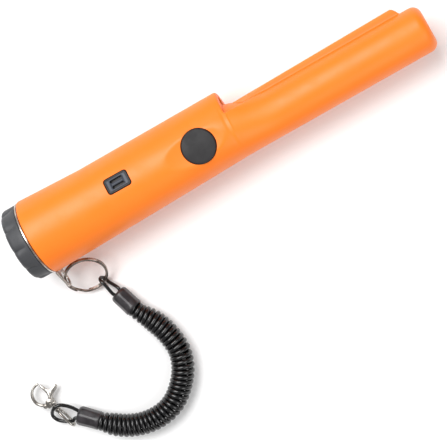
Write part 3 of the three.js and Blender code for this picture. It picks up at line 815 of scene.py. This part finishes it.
def outlet_rings(levels, radius=1.5):
    """Rings of a rounded rectangle, from (inset, height) pairs, on the sound outlet."""
    return [[at_outlet(x, y, out) for x, y in rounded_rect(
        OUTLET_LENGTH - 2 * inset, OUTLET_WIDTH - 2 * inset, radius - inset * 0.6)] for inset, out in levels]


LAMP_Y, LAMP_R = 12.6, 2.5
well = turned([(BUTTON_R + 0.3, 5), (BUTTON_R + 0.3, 25)], 96, (BUTTON_X, BUTTON_Y, 0), "z")
window = outlet_rings([(-0.3, -6), (-0.3, 3)])
socket = turned([(LAMP_R + 0.3, STEP_X - 12), (LAMP_R + 0.3, STEP_X + 3)], 48, (0, LAMP_Y, 0))
for name, rings in (("well", well), ("window", window), ("socket", socket)):
    combine(housing, ringed(name, rings, orange_shell, None))
housing.data.set_sharp_from_angle(angle=math.radians(32))
print("housing faces after the cuts:", len(housing.data.polygons))

# %% [markdown]
# ## The battery cap
# The cap screws in behind the housing. Its grip has ten wide lobes with narrow grooves
# between them for fingers, a plain band at the front, and a rounded back edge. Its neck has a
# real helical thread, since the cap comes right out of the housing when it is unscrewed.

# %% Battery cap
CAP_FRONT, CAP_REAR, CAP_R, LOBES = -1.5, -9.9, 19.3, 10
NECK_R, NECK_END, GROOVE = 16.4, 7.5, 1.5
CAP_SIDES = 240


def groove(angle):
    """1 in a groove and 0 in the middle of a lobe."""
    turn = (angle * LOBES / (2 * math.pi) - 0.12) % 1
    return (abs(turn - 0.5) * 2) ** 4


def cap_ring(x, r, lobe_depth=0.0, thread_height=0.0):
    ring = []
    for i in range(CAP_SIDES):
        a = 2 * math.pi * i / CAP_SIDES
        out = r - lobe_depth * groove(a) + thread_height * thread(x, math.pi / 2 - a)
        ring.append((x, out * math.sin(a), -out * math.cos(a)))
    return ring


cap_rings = [cap_ring(-0.8, 12), cap_ring(-0.8, 13.4), cap_ring(NECK_END - 0.4, 13.4),
             cap_ring(NECK_END, 13.8), cap_ring(NECK_END, NECK_R - 1),
             cap_ring(NECK_END - 0.35, NECK_R - 0.65)]
for x in reversed(spread(3.1, NECK_END - 0.5, 0.2)):
    cap_rings.append(cap_ring(x, NECK_R - 0.6, 0, 0.7 * ease(x, 3.2, 3.9) * (1 - ease(x, 6.2, 7))))
cap_rings += [cap_ring(x, r) for x, r in (
    (2.9, NECK_R - 0.6), (2.9, 14.9), (0.5, 14.9), (0.5, 15.9), (CAP_FRONT, 15.9), (CAP_FRONT, CAP_R - 0.4),
    (CAP_FRONT - 0.12, CAP_R - 0.12), (CAP_FRONT - 0.4, CAP_R))]
for x in [*spread(CAP_FRONT - 0.9, -3, 0.5), *spread(-3, CAP_REAR + 2.4, 0.25)]:
    cap_rings.append(cap_ring(x, CAP_R, GROOVE * ease(-x, 3.1, 4.9)))
for i in range(9):
    turn = math.pi / 2 * i / 8
    cap_rings.append(cap_ring(CAP_REAR + 2.4 * (1 - math.sin(turn)), CAP_R - 2.4 * (1 - math.cos(turn)),
                              GROOVE * (1 - 0.35 * i / 8)))
cap_rings += [cap_ring(x, r, d) for x, r, d in (
    (CAP_REAR, 16.2, 0.6), (CAP_REAR, 14.2, 0), (CAP_REAR, 12.6, 0), (CAP_REAR + 0.12, 12.3, 0),
    (CAP_REAR + 0.35, 12.1, 0), (CAP_REAR + 0.35, 6, 0))]
cap = ringed("cap_with_thread", cap_rings, cap_plastic, "battery_cap", ["battery_cap"],
             sharp=38)
print("cap faces:", len(cap.data.polygons))

# %% [markdown]
# ## The push button
# A soft rubber button for the thumb, very slightly domed, with a rounded edge and a flange
# underneath that keeps it in the housing.

# %% Push button
EDGE = 0.9
button_profile = [(1.2, 9.7), (2.4, 9.7), (2.4, 11.3), (BUTTON_R + 1.2, 11.3), (BUTTON_R + 1.2, 12.5),
                  (BUTTON_R, 12.5), (BUTTON_R, 13.6),
                  *corner(BUTTON_R - EDGE, BUTTON_TOP - 0.42 - EDGE, EDGE, 0, 80, 8)]
for i in range(1, 12):
    r = (BUTTON_R - EDGE) * (1 - i / 11.5)
    button_profile.append((r, BUTTON_TOP - 0.4 * (r / (BUTTON_R - EDGE)) ** 2 - 0.02))
button = ringed("thumb_button", turned(button_profile, 96, (BUTTON_X, BUTTON_Y, 0), "z"), button_rubber,
                "button", ["button"])
print("button", round(button.dimensions.x * 1000, 1), "mm across")

# %% [markdown]
# ## The sound outlet
# A small insert with two slots, behind which the sounder sits. The mesh carries two finishes: the faces
# outside the raised field and deep in the slots get near-black rubber, as painted shade for the shadowed gap
# all round the insert and inside its slots.

# %% Sound outlet
outlet = ringed("sound_outlet", outlet_rings([
    (0, -2.25), (0, -0.5), (0.12, -0.3), (0.3, -0.22), (0.75, -0.22), (0.9, -0.34), (1.0, -0.34),
    (1.12, -0.24), (1.3, -0.2), (1.9, -0.2)]), [outlet_plastic, seal_rubber], "probe_body",
    ["sound_grille"])
for y in (-1.5, 1.5):
    slot_rings = [[at_outlet(a, b + y, out) for a, b in rounded_rect(6.5, 1.45, 0.6)] for out in (-1.9, 1)]
    combine(outlet, ringed("slot", slot_rings, outlet_plastic, None))
middle = place(*at_outlet(0, 0, 0))
outlet_across = Vector((0, math.cos(OUTLET_TURN), -math.sin(OUTLET_TURN)))
outlet_out = Vector((0, math.sin(OUTLET_TURN), math.cos(OUTLET_TURN)))
for face in outlet.data.polygons:
    x, y = (face.center - middle).x / MM, (face.center - middle).dot(outlet_across) / MM
    inside = abs(x) < OUTLET_LENGTH / 2 - 0.95 and abs(y) < OUTLET_WIDTH / 2 - 0.95
    deep = (face.center - middle).dot(outlet_out) / MM < -0.5
    # index 1 is the near-black finish, painted shade round the insert's field and deep in the slots
    face.material_index = 0 if inside and not deep else 1
print("outlet faces:", len(outlet.data.polygons))

# %% [markdown]
# ## Lamp
# The lamp's window is a small clear lens, domed a little, in the flat of the step.

# %% Lamp window and the light-emitting diode behind it
clear = Paint("clear_plastic")
clear_plastic = clear.coated(Base_Color=srgb(238, 242, 246), Roughness=clear.noise(0.8).between(0.03, 0.12),
                             Transmission_Weight=0.85, IOR=1.49)
lens_profile = [(1.6, STEP_X - 2.2), (LAMP_R, STEP_X - 2.2), (LAMP_R, STEP_X - 0.9)]
for i in range(1, 8):
    r = LAMP_R * math.cos(math.pi / 2 * i / 8)
    lens_profile.append((r, STEP_X - 0.9 + 0.3 * math.sin(math.pi / 2 * i / 8)))
lamp = ringed("lamp_lens", turned(lens_profile, 48, (0, LAMP_Y, 0)), clear_plastic, "probe_body",
              ["lamp_window"])
print("lens", round(lamp.dimensions.y * 1000, 1), "mm across")

# %% [markdown]
# ## The strap ring and its ear
# A washer of stamped steel sits between the cap and the housing. Its ear stands out at the
# side, bent a little towards the tip, and has the hole that the split ring passes through.
# The washer and the ear are made apart, each with its edges rounded, and then joined.

# %% Strap ring
half = (STRAP["front"] - STRAP["rear"]) / 2
soft = 0.16
washer_profile = [(STRAP["bore"], half - soft), (STRAP["bore"] + soft, half), (STRAP["r"] - soft, half),
                  (STRAP["r"], half - soft), (STRAP["r"], soft - half), (STRAP["r"] - soft, -half),
                  (STRAP["bore"] + soft, -half), (STRAP["bore"], soft - half)]
strap = ringed("strap_ring_steel", turned(washer_profile, 160, (strap_middle, 0, 0)), stamped_steel,
               "strap_ring", ["strap_ring"], closed=True)

TANGENT = math.radians(79)


def ear_edge(angle, margin):
    """The ear's outline round its hole: a round end, and straight sides that run down to the washer."""
    turn = abs(angle)
    out = EAR["r"]
    if turn > TANGENT:
        sides = out / max(0.01, math.cos(turn - TANGENT))
        root = (EAR["reach"] + 0.7) / max(0.01, -math.cos(turn))
        out = min(sides, root)
    return out - margin


def on_ear(u, v, w):
    """A point of the bent ear: u outwards from the bend, v round the washer, w through the sheet."""
    out = EAR["root"] + u * math.cos(EAR["bend"]) - w * math.sin(EAR["bend"])
    ahead = u * math.sin(EAR["bend"]) + w * math.cos(EAR["bend"])
    return (strap_middle + ahead, v * math.sin(EAR["turn"]) - out * math.cos(EAR["turn"]),
            -v * math.cos(EAR["turn"]) - out * math.sin(EAR["turn"]))


def ear_ring(w, margin, hole=None):
    ring = []
    for i in range(96):
        a = 2 * math.pi * i / 96 - math.pi
        out = hole if hole else ear_edge(a, margin)
        ring.append(on_ear(EAR["reach"] + out * math.cos(a), out * math.sin(a), w))
    return ring


ear = ringed("ear", [
    ear_ring(half - soft, 0, EAR["hole"]), ear_ring(half, 0, EAR["hole"] + soft), ear_ring(half, soft),
    ear_ring(half - soft, 0), ear_ring(soft - half, 0), ear_ring(-half, soft),
    ear_ring(-half, 0, EAR["hole"] + soft), ear_ring(soft - half, 0, EAR["hole"])],
    stamped_steel, None, closed=True)
combine(strap, ear, "UNION")
strap.data.set_sharp_from_angle(angle=math.radians(40))
print("strap ring faces:", len(strap.data.polygons))

# %% [markdown]
# ## Sweeping a section along a path
# Bent wire and strip are a flat section carried along a path. `carry` does that: at each point
# it needs the way forward and one fixed direction that stays across the section.

# %% Carry a section along a path


def rounded_section(width, height, radius, steps=3):
    return rounded_rect(width, height, radius, steps)


def round_section(diameter, sides=16):
    angles = [2 * math.pi * i / sides for i in range(sides)]
    return [(diameter / 2 * math.cos(a), diameter / 2 * math.sin(a)) for a in angles]


def carry(section, path, across, grow=None):
    """Rings of the section along the path. across is a direction, or one for each point."""
    rings = []
    last = len(path) - 1
    for i, p in enumerate(path):
        along = (path[min(i + 1, last)] - path[max(i - 1, 0)]).normalized()
        wide = across[i] if isinstance(across, list) else across
        wide = (wide - along * wide.dot(along)).normalized()
        high = along.cross(wide)
        k = grow(i / last) if grow else 1
        rings.append([p + wide * (x * k) + high * (y * k) for x, y in section])
    return rings


print("a round section has", len(round_section(1)), "points")

# %% [markdown]
# ## The split ring
# A split ring is nearly two turns of flattened spring wire that lie against each other. The
# wire crosses from one layer to the other near its two cut ends, which makes the little step
# that a thumbnail gets under.

# %% Split ring
RING_START = math.radians(-108)
RING_TURN = 2 * math.pi * 2 - math.radians(34)
ring_steps = 220
ring_path, ring_across = [], []
for i in range(ring_steps + 1):
    travelled = RING_TURN * i / ring_steps
    layer = mix(-0.43, 0.43, ease(travelled, 2 * math.pi - math.radians(30), 2 * math.pi - math.radians(3)))
    at = RING_START + travelled
    ring_path.append(ring_centre + spoke(at) + ring_normal * layer)
    ring_across.append(spoke(at).normalized())


RING_WIRE = 1.4, 0.8, 0.26
split_ring = ringed("split_ring_wire", carry(rounded_section(*RING_WIRE), ring_path, ring_across),
                    split_ring_steel, "split_ring", ["split_ring"], sharp=50)
print("split ring", round(max(split_ring.dimensions) * 1000, 1), "mm across")

# %% [markdown]
# ## The sleeves
# A sleeve of soft rubber is moulded over the cord where the coil ends, and the mould pinches
# flat facets into it. Its section is a circle cut by eight flats, and the flats fade out
# towards the coil, where it is round.

# %% Sleeves


def sleeve_section(width, flatness, spin, pull):
    """A circle with eight flats pressed into it; pull narrows it from above."""
    ring = []
    for i in range(96):
        a = 2 * math.pi * i / 96
        nearest = (a - spin) % (math.pi / 4)
        flat = math.cos(math.pi / 8) / math.cos(nearest - math.pi / 8)
        r = width / 2 * mix(1, min(1, flat * 1.035), flatness)
        ring.append((r * math.cos(a), r * math.sin(a) * pull))
    return ring


def sleeve(name, ends, cord_width, coil_width, spin, stands_for):
    along, side, top = sleeve_axes(ends)
    length = (ends[0] - ends[1]).length
    rings = []
    for f, size, flatness in (
            (0, 0.8, 0), (0, 0.92, 0), (0.01, 0.97, 0), (0.04, 1, 0.1), (0.12, 1, 0.5), (0.2, 0.99, 0.9),
            (0.3, 0.985, 1), (0.45, 0.99, 1), (0.6, 1, 1), (0.72, 1.01, 1), (0.8, 1.01, 0.9),
            (0.86, 1.0, 0.7), (0.91, 0.97, 0.6), (0.95, 0.92, 0.5), (0.98, 0.84, 0.4),
            (0.995, 0.74, 0.3), (1, 0.62, 0.2), (1, 0.4, 0)):
        width = mix(coil_width, cord_width, f) * size
        centre = ends[1] + along * (f * length)
        rings.append([centre + side * x + top * y for x, y in sleeve_section(width, flatness, spin,
                                                                             mix(1, 0.88, f))])
    made = ringed(name, rings, sleeve_rubber, "lanyard", [stands_for], sharp=28)
    print(name, round(length, 1), "mm long")
    return made


upper_sleeve = sleeve("upper_sleeve_rubber", upper_ends, 9.5, 9.8, math.radians(10), "upper_sleeve")
lower_sleeve = sleeve("lower_sleeve_rubber", lower_ends, 10, 9.6, math.radians(14), "lower_sleeve")

# %% [markdown]
# ## The snap hook
# A small die-cast snap hook: an oval hook, a sprung gate with a thumb tab, a hollow rivet
# that the gate turns on, and a swivel with a long wire eye. It is drawn flat, in its own
# frame, with x from the swivel to the far end, and then laid down beside the coil.

# %% The hook's own frame
HOOK_AT = Vector((-40.5, -81.2, TABLE_Z + 3.9))
HOOK_HEADING = math.radians(107)
hook_along = Vector((math.cos(HOOK_HEADING), math.sin(HOOK_HEADING), 0))
hook_back = Vector((-math.sin(HOOK_HEADING), math.cos(HOOK_HEADING), 0))
UP = Vector((0, 0, 1))
RIVET_X, RIVET_Y = 4.2, -0.2


def in_hook(x, y, z=0.0):
    return HOOK_AT + hook_along * x + hook_back * y + UP * z


def hook_curve(points, per_span=8):
    return smooth_path([in_hook(*p) for p in points], per_span)


def plate(outline, low, high, round_by):
    """Rings of a flat plate with its edges rounded, from an outline in the hook's frame."""
    rings = []
    n = len(outline)
    normals = []
    for i in range(n):
        (x0, y0), (x1, y1) = outline[i - 1], outline[(i + 1) % n]
        size = math.hypot(x1 - x0, y1 - y0)
        normals.append(((y1 - y0) / size, (x0 - x1) / size))
    for z, inset in ((low, round_by), (low + round_by * 0.4, round_by * 0.25), (low + round_by, 0),
                     (high - round_by, 0), (high - round_by * 0.4, round_by * 0.25), (high, round_by)):
        rings.append([in_hook(x - nx * inset, y - ny * inset, z)
                      for (x, y), (nx, ny) in zip(outline, normals)])
    return rings


print("hook's pivot, mm:", [round(c, 1) for c in in_hook(RIVET_X, RIVET_Y)])

# %% Hook


def bow(points, start, stop, centre, radius, steps=10):
    """Adds an arc to an outline, between two angles in degrees."""
    for i in range(steps + 1):
        a = math.radians(mix(start, stop, i / steps))
        points.append((centre[0] + radius * math.cos(a), centre[1] + radius * math.sin(a)))
    return points


hook_path = hook_curve([(4.4, 2.2), (5.8, 3.9), (8.2, 5.35), (10.9, 5.35), (13.5, 4.1), (15.2, 1.7),
                        (15.55, -0.7), (15.3, -2.5)])
HOOK_BAR = 2.3, 1.5, 0.6
hook = ringed("hook_cast", carry(rounded_section(*HOOK_BAR), hook_path, UP,
                                 lambda f: mix(1.08, 0.82, f)), nickel_plate, "hook", ["hook_body"],
              sharp=50)
cheek = bow(bow([], -100, 60, (RIVET_X + 0.2, RIVET_Y), 2.1), 100, 190, (RIVET_X - 0.1, RIVET_Y + 0.9), 2.0)
for low, high in ((1.3, 2.3), (-2.3, -1.3)):
    combine(hook, ringed("cheek", plate(cheek, low, high, 0.3), nickel_plate, None), "UNION")
knuckle = [(2.15, -1.9), (3.2, -2.1), (3.2, 2.5), (2.6, 2.6), (2.15, 2.1)]
combine(hook, ringed("knuckle", plate(knuckle, -2.0, 2.0, 0.25), nickel_plate, None), "UNION")
root = bow([], 20, 200, (4.6, 2.7), 1.5)
combine(hook, ringed("root", plate(root, -1.9, 1.9, 0.3), nickel_plate, None), "UNION")
combine(hook, ringed("pin_hole", [[in_hook(x, y, z) for x, y in bow([], 0, 345, (RIVET_X, RIVET_Y), 0.8, 23)]
                                  for z in (-4, 4)], nickel_plate, None))
hook.data.set_sharp_from_angle(angle=math.radians(40))
print("hook faces:", len(hook.data.polygons))

# %% Gate, rivet and swivel eye
gate_outline = [(3.0, -0.9), (3.5, -1.5), (5.2, -2.6), (6.2, -4.4), (6.55, -6.6), (6.9, -8.1), (7.5, -8.9),
                (8.4, -9.1), (9.2, -8.7), (9.6, -7.8), (9.5, -6.4), (9.2, -5.0), (9.6, -4.1), (11.4, -3.6),
                (14.1, -3.3), (14.35, -2.7), (14.1, -2.15), (11, -2.2), (8.6, -2.1), (6.8, -1.3),
                (5.9, -0.2), (5.2, 0.75), (4.1, 0.95), (3.2, 0.4)]
gate = ringed("gate_cast", plate(gate_outline, -0.9, 0.9, 0.35), nickel_plate, "gate", ["hook_gate"],
              sharp=50)
combine(gate, ringed("pin_hole", [[in_hook(x, y, z) for x, y in bow([], 0, 345, (RIVET_X, RIVET_Y), 0.8, 23)]
                                  for z in (-4, 4)], nickel_plate, None))
gate.data.set_sharp_from_angle(angle=math.radians(40))

pin = in_hook(RIVET_X, RIVET_Y)
rivet_profile = [(0.25, -2.1), (0.25, -2.52), (1.1, -2.52), (1.15, -2.42), (0.5, -2.32), (0.5, 2.32),
                 (1.15, 2.36), (1.1, 2.5), (0.8, 2.6), (0.5, 2.55), (0.42, 2.3), (0.4, 1.6), (0.2, 1.6)]
rivet = ringed("gate_rivet_hollow", turned(rivet_profile, 32, tuple(pin), "z"), nickel_plate, "hook",
               ["gate_rivet"], sharp=50)

eye_path = hook_curve([(-1.2, 0, -0.7), (-2.0, 0, -1.7), (-3.2, 0, -2.6), (-5, 0, -3), (-8.5, 0, -3.05),
                       (-11.3, 0, -2.5), (-12.55, 0, -1.3), (-12.8, 0, 0), (-12.55, 0, 1.3), (-11.3, 0, 2.5),
                       (-8.5, 0, 3.05), (-5, 0, 3), (-3.2, 0, 2.6), (-2.0, 0, 1.7), (-1.2, 0, 0.7)], 5)
eye = ringed("swivel_wire", carry(round_section(1.3), eye_path, hook_back), nickel_plate, "swivel_eye",
             ["swivel_eye"], sharp=50)


def on_hook_axis(profile, sides=32):
    return [[in_hook(x, r * math.cos(2 * math.pi * i / sides), r * math.sin(2 * math.pi * i / sides))
             for i in range(sides)] for r, x in profile]


barrel = ringed("barrel", on_hook_axis([
    (0.5, -2.3), (1.0, -2.25), (1.45, -1.8), (1.7, -1.2), (1.7, -0.7), (1.5, -0.5), (1.2, -0.2), (1.2, 0.8),
    (1.5, 1.1), (1.5, 1.5), (1.2, 1.85), (0.5, 1.9)]), nickel_plate, None)
combine(eye, barrel, "UNION")
eye.data.set_sharp_from_angle(angle=math.radians(45))
print("gate, rivet and eye:", *(len(o.data.polygons) for o in (gate, rivet, eye)), "faces")

# %% [markdown]
# ## What is inside
# The inner pieces keep their imported shapes. They show when the cap is off, so each one gets the finish of
# the real thing with some painted shade: a printed wrap on the battery, solder mask with copper tracks on
# the board, enamelled wire on the coils, darker between the turns as painted shade and lighter on their
# crests as painted highlight, and open-cell foam, darker in its pores as painted shade.

# %% Board, windings and foam
board = Paint("board_laminate")
tracks = board.node("ShaderNodeTexBrick", {"offset": 0.5}, {
    "Vector": board.spot, "Scale": 260.0, "Mortar Size": 0.02, "Brick Width": 0.9, "Row Height": 0.35})
track = board.node("ShaderNodeSeparateColor", {}, {"Color": tracks})
grain = board.noise(1.2, 3.0)
board_laminate = board.coated(
    Base_Color=board.blend(track, srgb(24, 92, 52), srgb(40, 124, 72)),
    Roughness=grain.between(0.28, 0.42), Normal=board.bump(track + grain * 0.1, 0.03))

winding = Paint("copper_wire")
phase = winding.along(0) * (2 * math.pi / 0.35)
strand_relief_and_shade = phase.math("SINE", phase)
# The colour runs from dark in the grooves between turns to light on each crest: painted shade and painted
# highlight over the real bump of the windings.
copper_wire = winding.coated(
    Base_Color=winding.blend(strand_relief_and_shade.between(0.5, 1), srgb(112, 48, 18), srgb(206, 122, 62)),
    Metallic=0.9, Roughness=0.3, Normal=winding.bump(strand_relief_and_shade, 0.08))

sponge = Paint("foam")
pores_and_pore_shade = sponge.cells(2.2)
# The colour is darker at the centres of the pores, as painted shade in the pits that the bump makes.
foam = sponge.coated(Base_Color=sponge.blend(pores_and_pore_shade.above(0.1, 0.7), srgb(46, 46, 50), srgb(108, 109, 114)),
                     Roughness=0.95, Normal=sponge.bump(pores_and_pore_shade, 0.25))
print("made", board_laminate.name, copper_wire.name, foam.name)

# %% Battery wrap, small plastics and ferrite
wrap = Paint("battery_wrap")
lengthwise = wrap.along(0) + (mouth.x / MM) * -1
band = lengthwise.above(38.5, 38.8) - lengthwise.above(52.5, 52.8)
scuff = wrap.noise(0.5, 4.0, (0.2, 1, 1))
battery_wrap = wrap.coated(
    Base_Color=wrap.blend(band, srgb(34, 48, 74), srgb(196, 186, 160)),
    Metallic=scuff.between(0.35, 0.6), Roughness=scuff.between(0.22, 0.42), Normal=wrap.bump(scuff, 0.01))
black_plastic = moulded("black_plastic", srgb(38, 38, 41), srgb(22, 22, 24), 2.4, 0.015, (0.4, 0.6), 0.6)
white_plastic = moulded("white_plastic", srgb(236, 234, 226), srgb(214, 210, 198), 2.0, 0.012,
                        (0.35, 0.5), 0.5)
blue_wrap = moulded("blue_wrap", srgb(58, 84, 132), srgb(36, 54, 92), 1.6, 0.01, (0.25, 0.4), 0.6)
red_insulation = moulded("red_insulation", srgb(196, 38, 26), srgb(150, 22, 16), 1.6, 0.01, (0.3, 0.45), 0.5)
ferrite = moulded("ferrite", srgb(72, 71, 75), srgb(44, 43, 47), 1.4, 0.05, (0.55, 0.8), 0.9)
print("made", battery_wrap.name, black_plastic.name, ferrite.name)

# %% Finishes on the inner pieces
INNER = {
    board_laminate: "circuit_board", copper_wire: "transmit_coil receive_coil",
    foam: "sound_gasket tip_foam rear_foam cap_foam", battery_wrap: "battery",
    black_plastic: "switch_plunger tact_switch sounder processor_chip amplifier_chip motor_bracket"
                   " battery_snap battery_lead_black",
    white_plastic: "coil_former coil_lead_white", blue_wrap: "tuning_capacitor filter_capacitor",
    red_insulation: "coil_lead_red battery_lead_red", ferrite: "ferrite_rod", clear_plastic: "lamp_led",
    stamped_steel: "vibration_motor battery_stud_plus battery_stud_minus gate_spring",
    nickel_plate: "motor_weight", seal_rubber: "cap_seal_ring"}
for look, names in INNER.items():
    for name in names.split():
        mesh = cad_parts[name].data
        mesh.materials.clear()
        mesh.materials.append(look)
        mesh.set_sharp_from_angle(angle=math.radians(35))
print(sum(len(names.split()) for names in INNER.values()), "inner pieces finished")

# %% [markdown]
# ## The cord's length
# The cord's length is the length of its own line. It hangs from the split ring, and the sleeves sit on the
# same body as the cord.

# %% The cord's facts
CORD_LENGTH = path_length(cord_points) * MM
print(f"{CORD_LENGTH:.3f} m of cord")

# %% [markdown]
# ## The studio
# A pale floor, a white surround, one broad soft light from the side of the fin and a weaker
# one from the front. A broad light gives the plastic its long soft highlight.

# %% Floor
floor_mesh = bpy.data.meshes.new("floor")
reach = 0.6
floor_mesh.from_pydata([(-reach, -reach, 0), (reach, -reach, 0), (reach, reach, 0), (-reach, reach, 0)], [],
                       [(0, 1, 2, 3)])
floor = link("floor", floor_mesh)
paper = Paint("paper")
floor_mesh.materials.append(paper.coated(Base_Color=srgb(252, 252, 252), Roughness=0.9))
floor.location.z = -0.0004
print("floor", floor.dimensions.x, "m wide")

# %% Lights


def area_light(name, at, towards, size, power, colour=(1, 1, 1)):
    data = bpy.data.lights.new(name, "AREA")
    data.shape, data.size, data.size_y = "RECTANGLE", size[0], size[1]
    data.energy, data.color = power, colour
    thing = link(name, data)
    thing.location = at
    thing.rotation_euler = (Vector(towards) - Vector(at)).to_track_quat("-Z", "Y").to_euler()
    return thing


area_light("key", (-0.2, 0.45, 0.9), (0, 0, 0), (1.0, 0.6), 12)
area_light("fill", (0.4, -0.6, 0.8), (0, 0, 0), (0.9, 0.5), 4)
world = bpy.data.worlds.new("surround")
world.use_nodes = True
world.node_tree.nodes["Background"].inputs["Color"].default_value = (1, 1, 1, 1)
world.node_tree.nodes["Background"].inputs["Strength"].default_value = 0.35
bpy.context.scene.world = world
bpy.context.scene.view_settings.view_transform = "Standard"
print("two lights and a white surround")
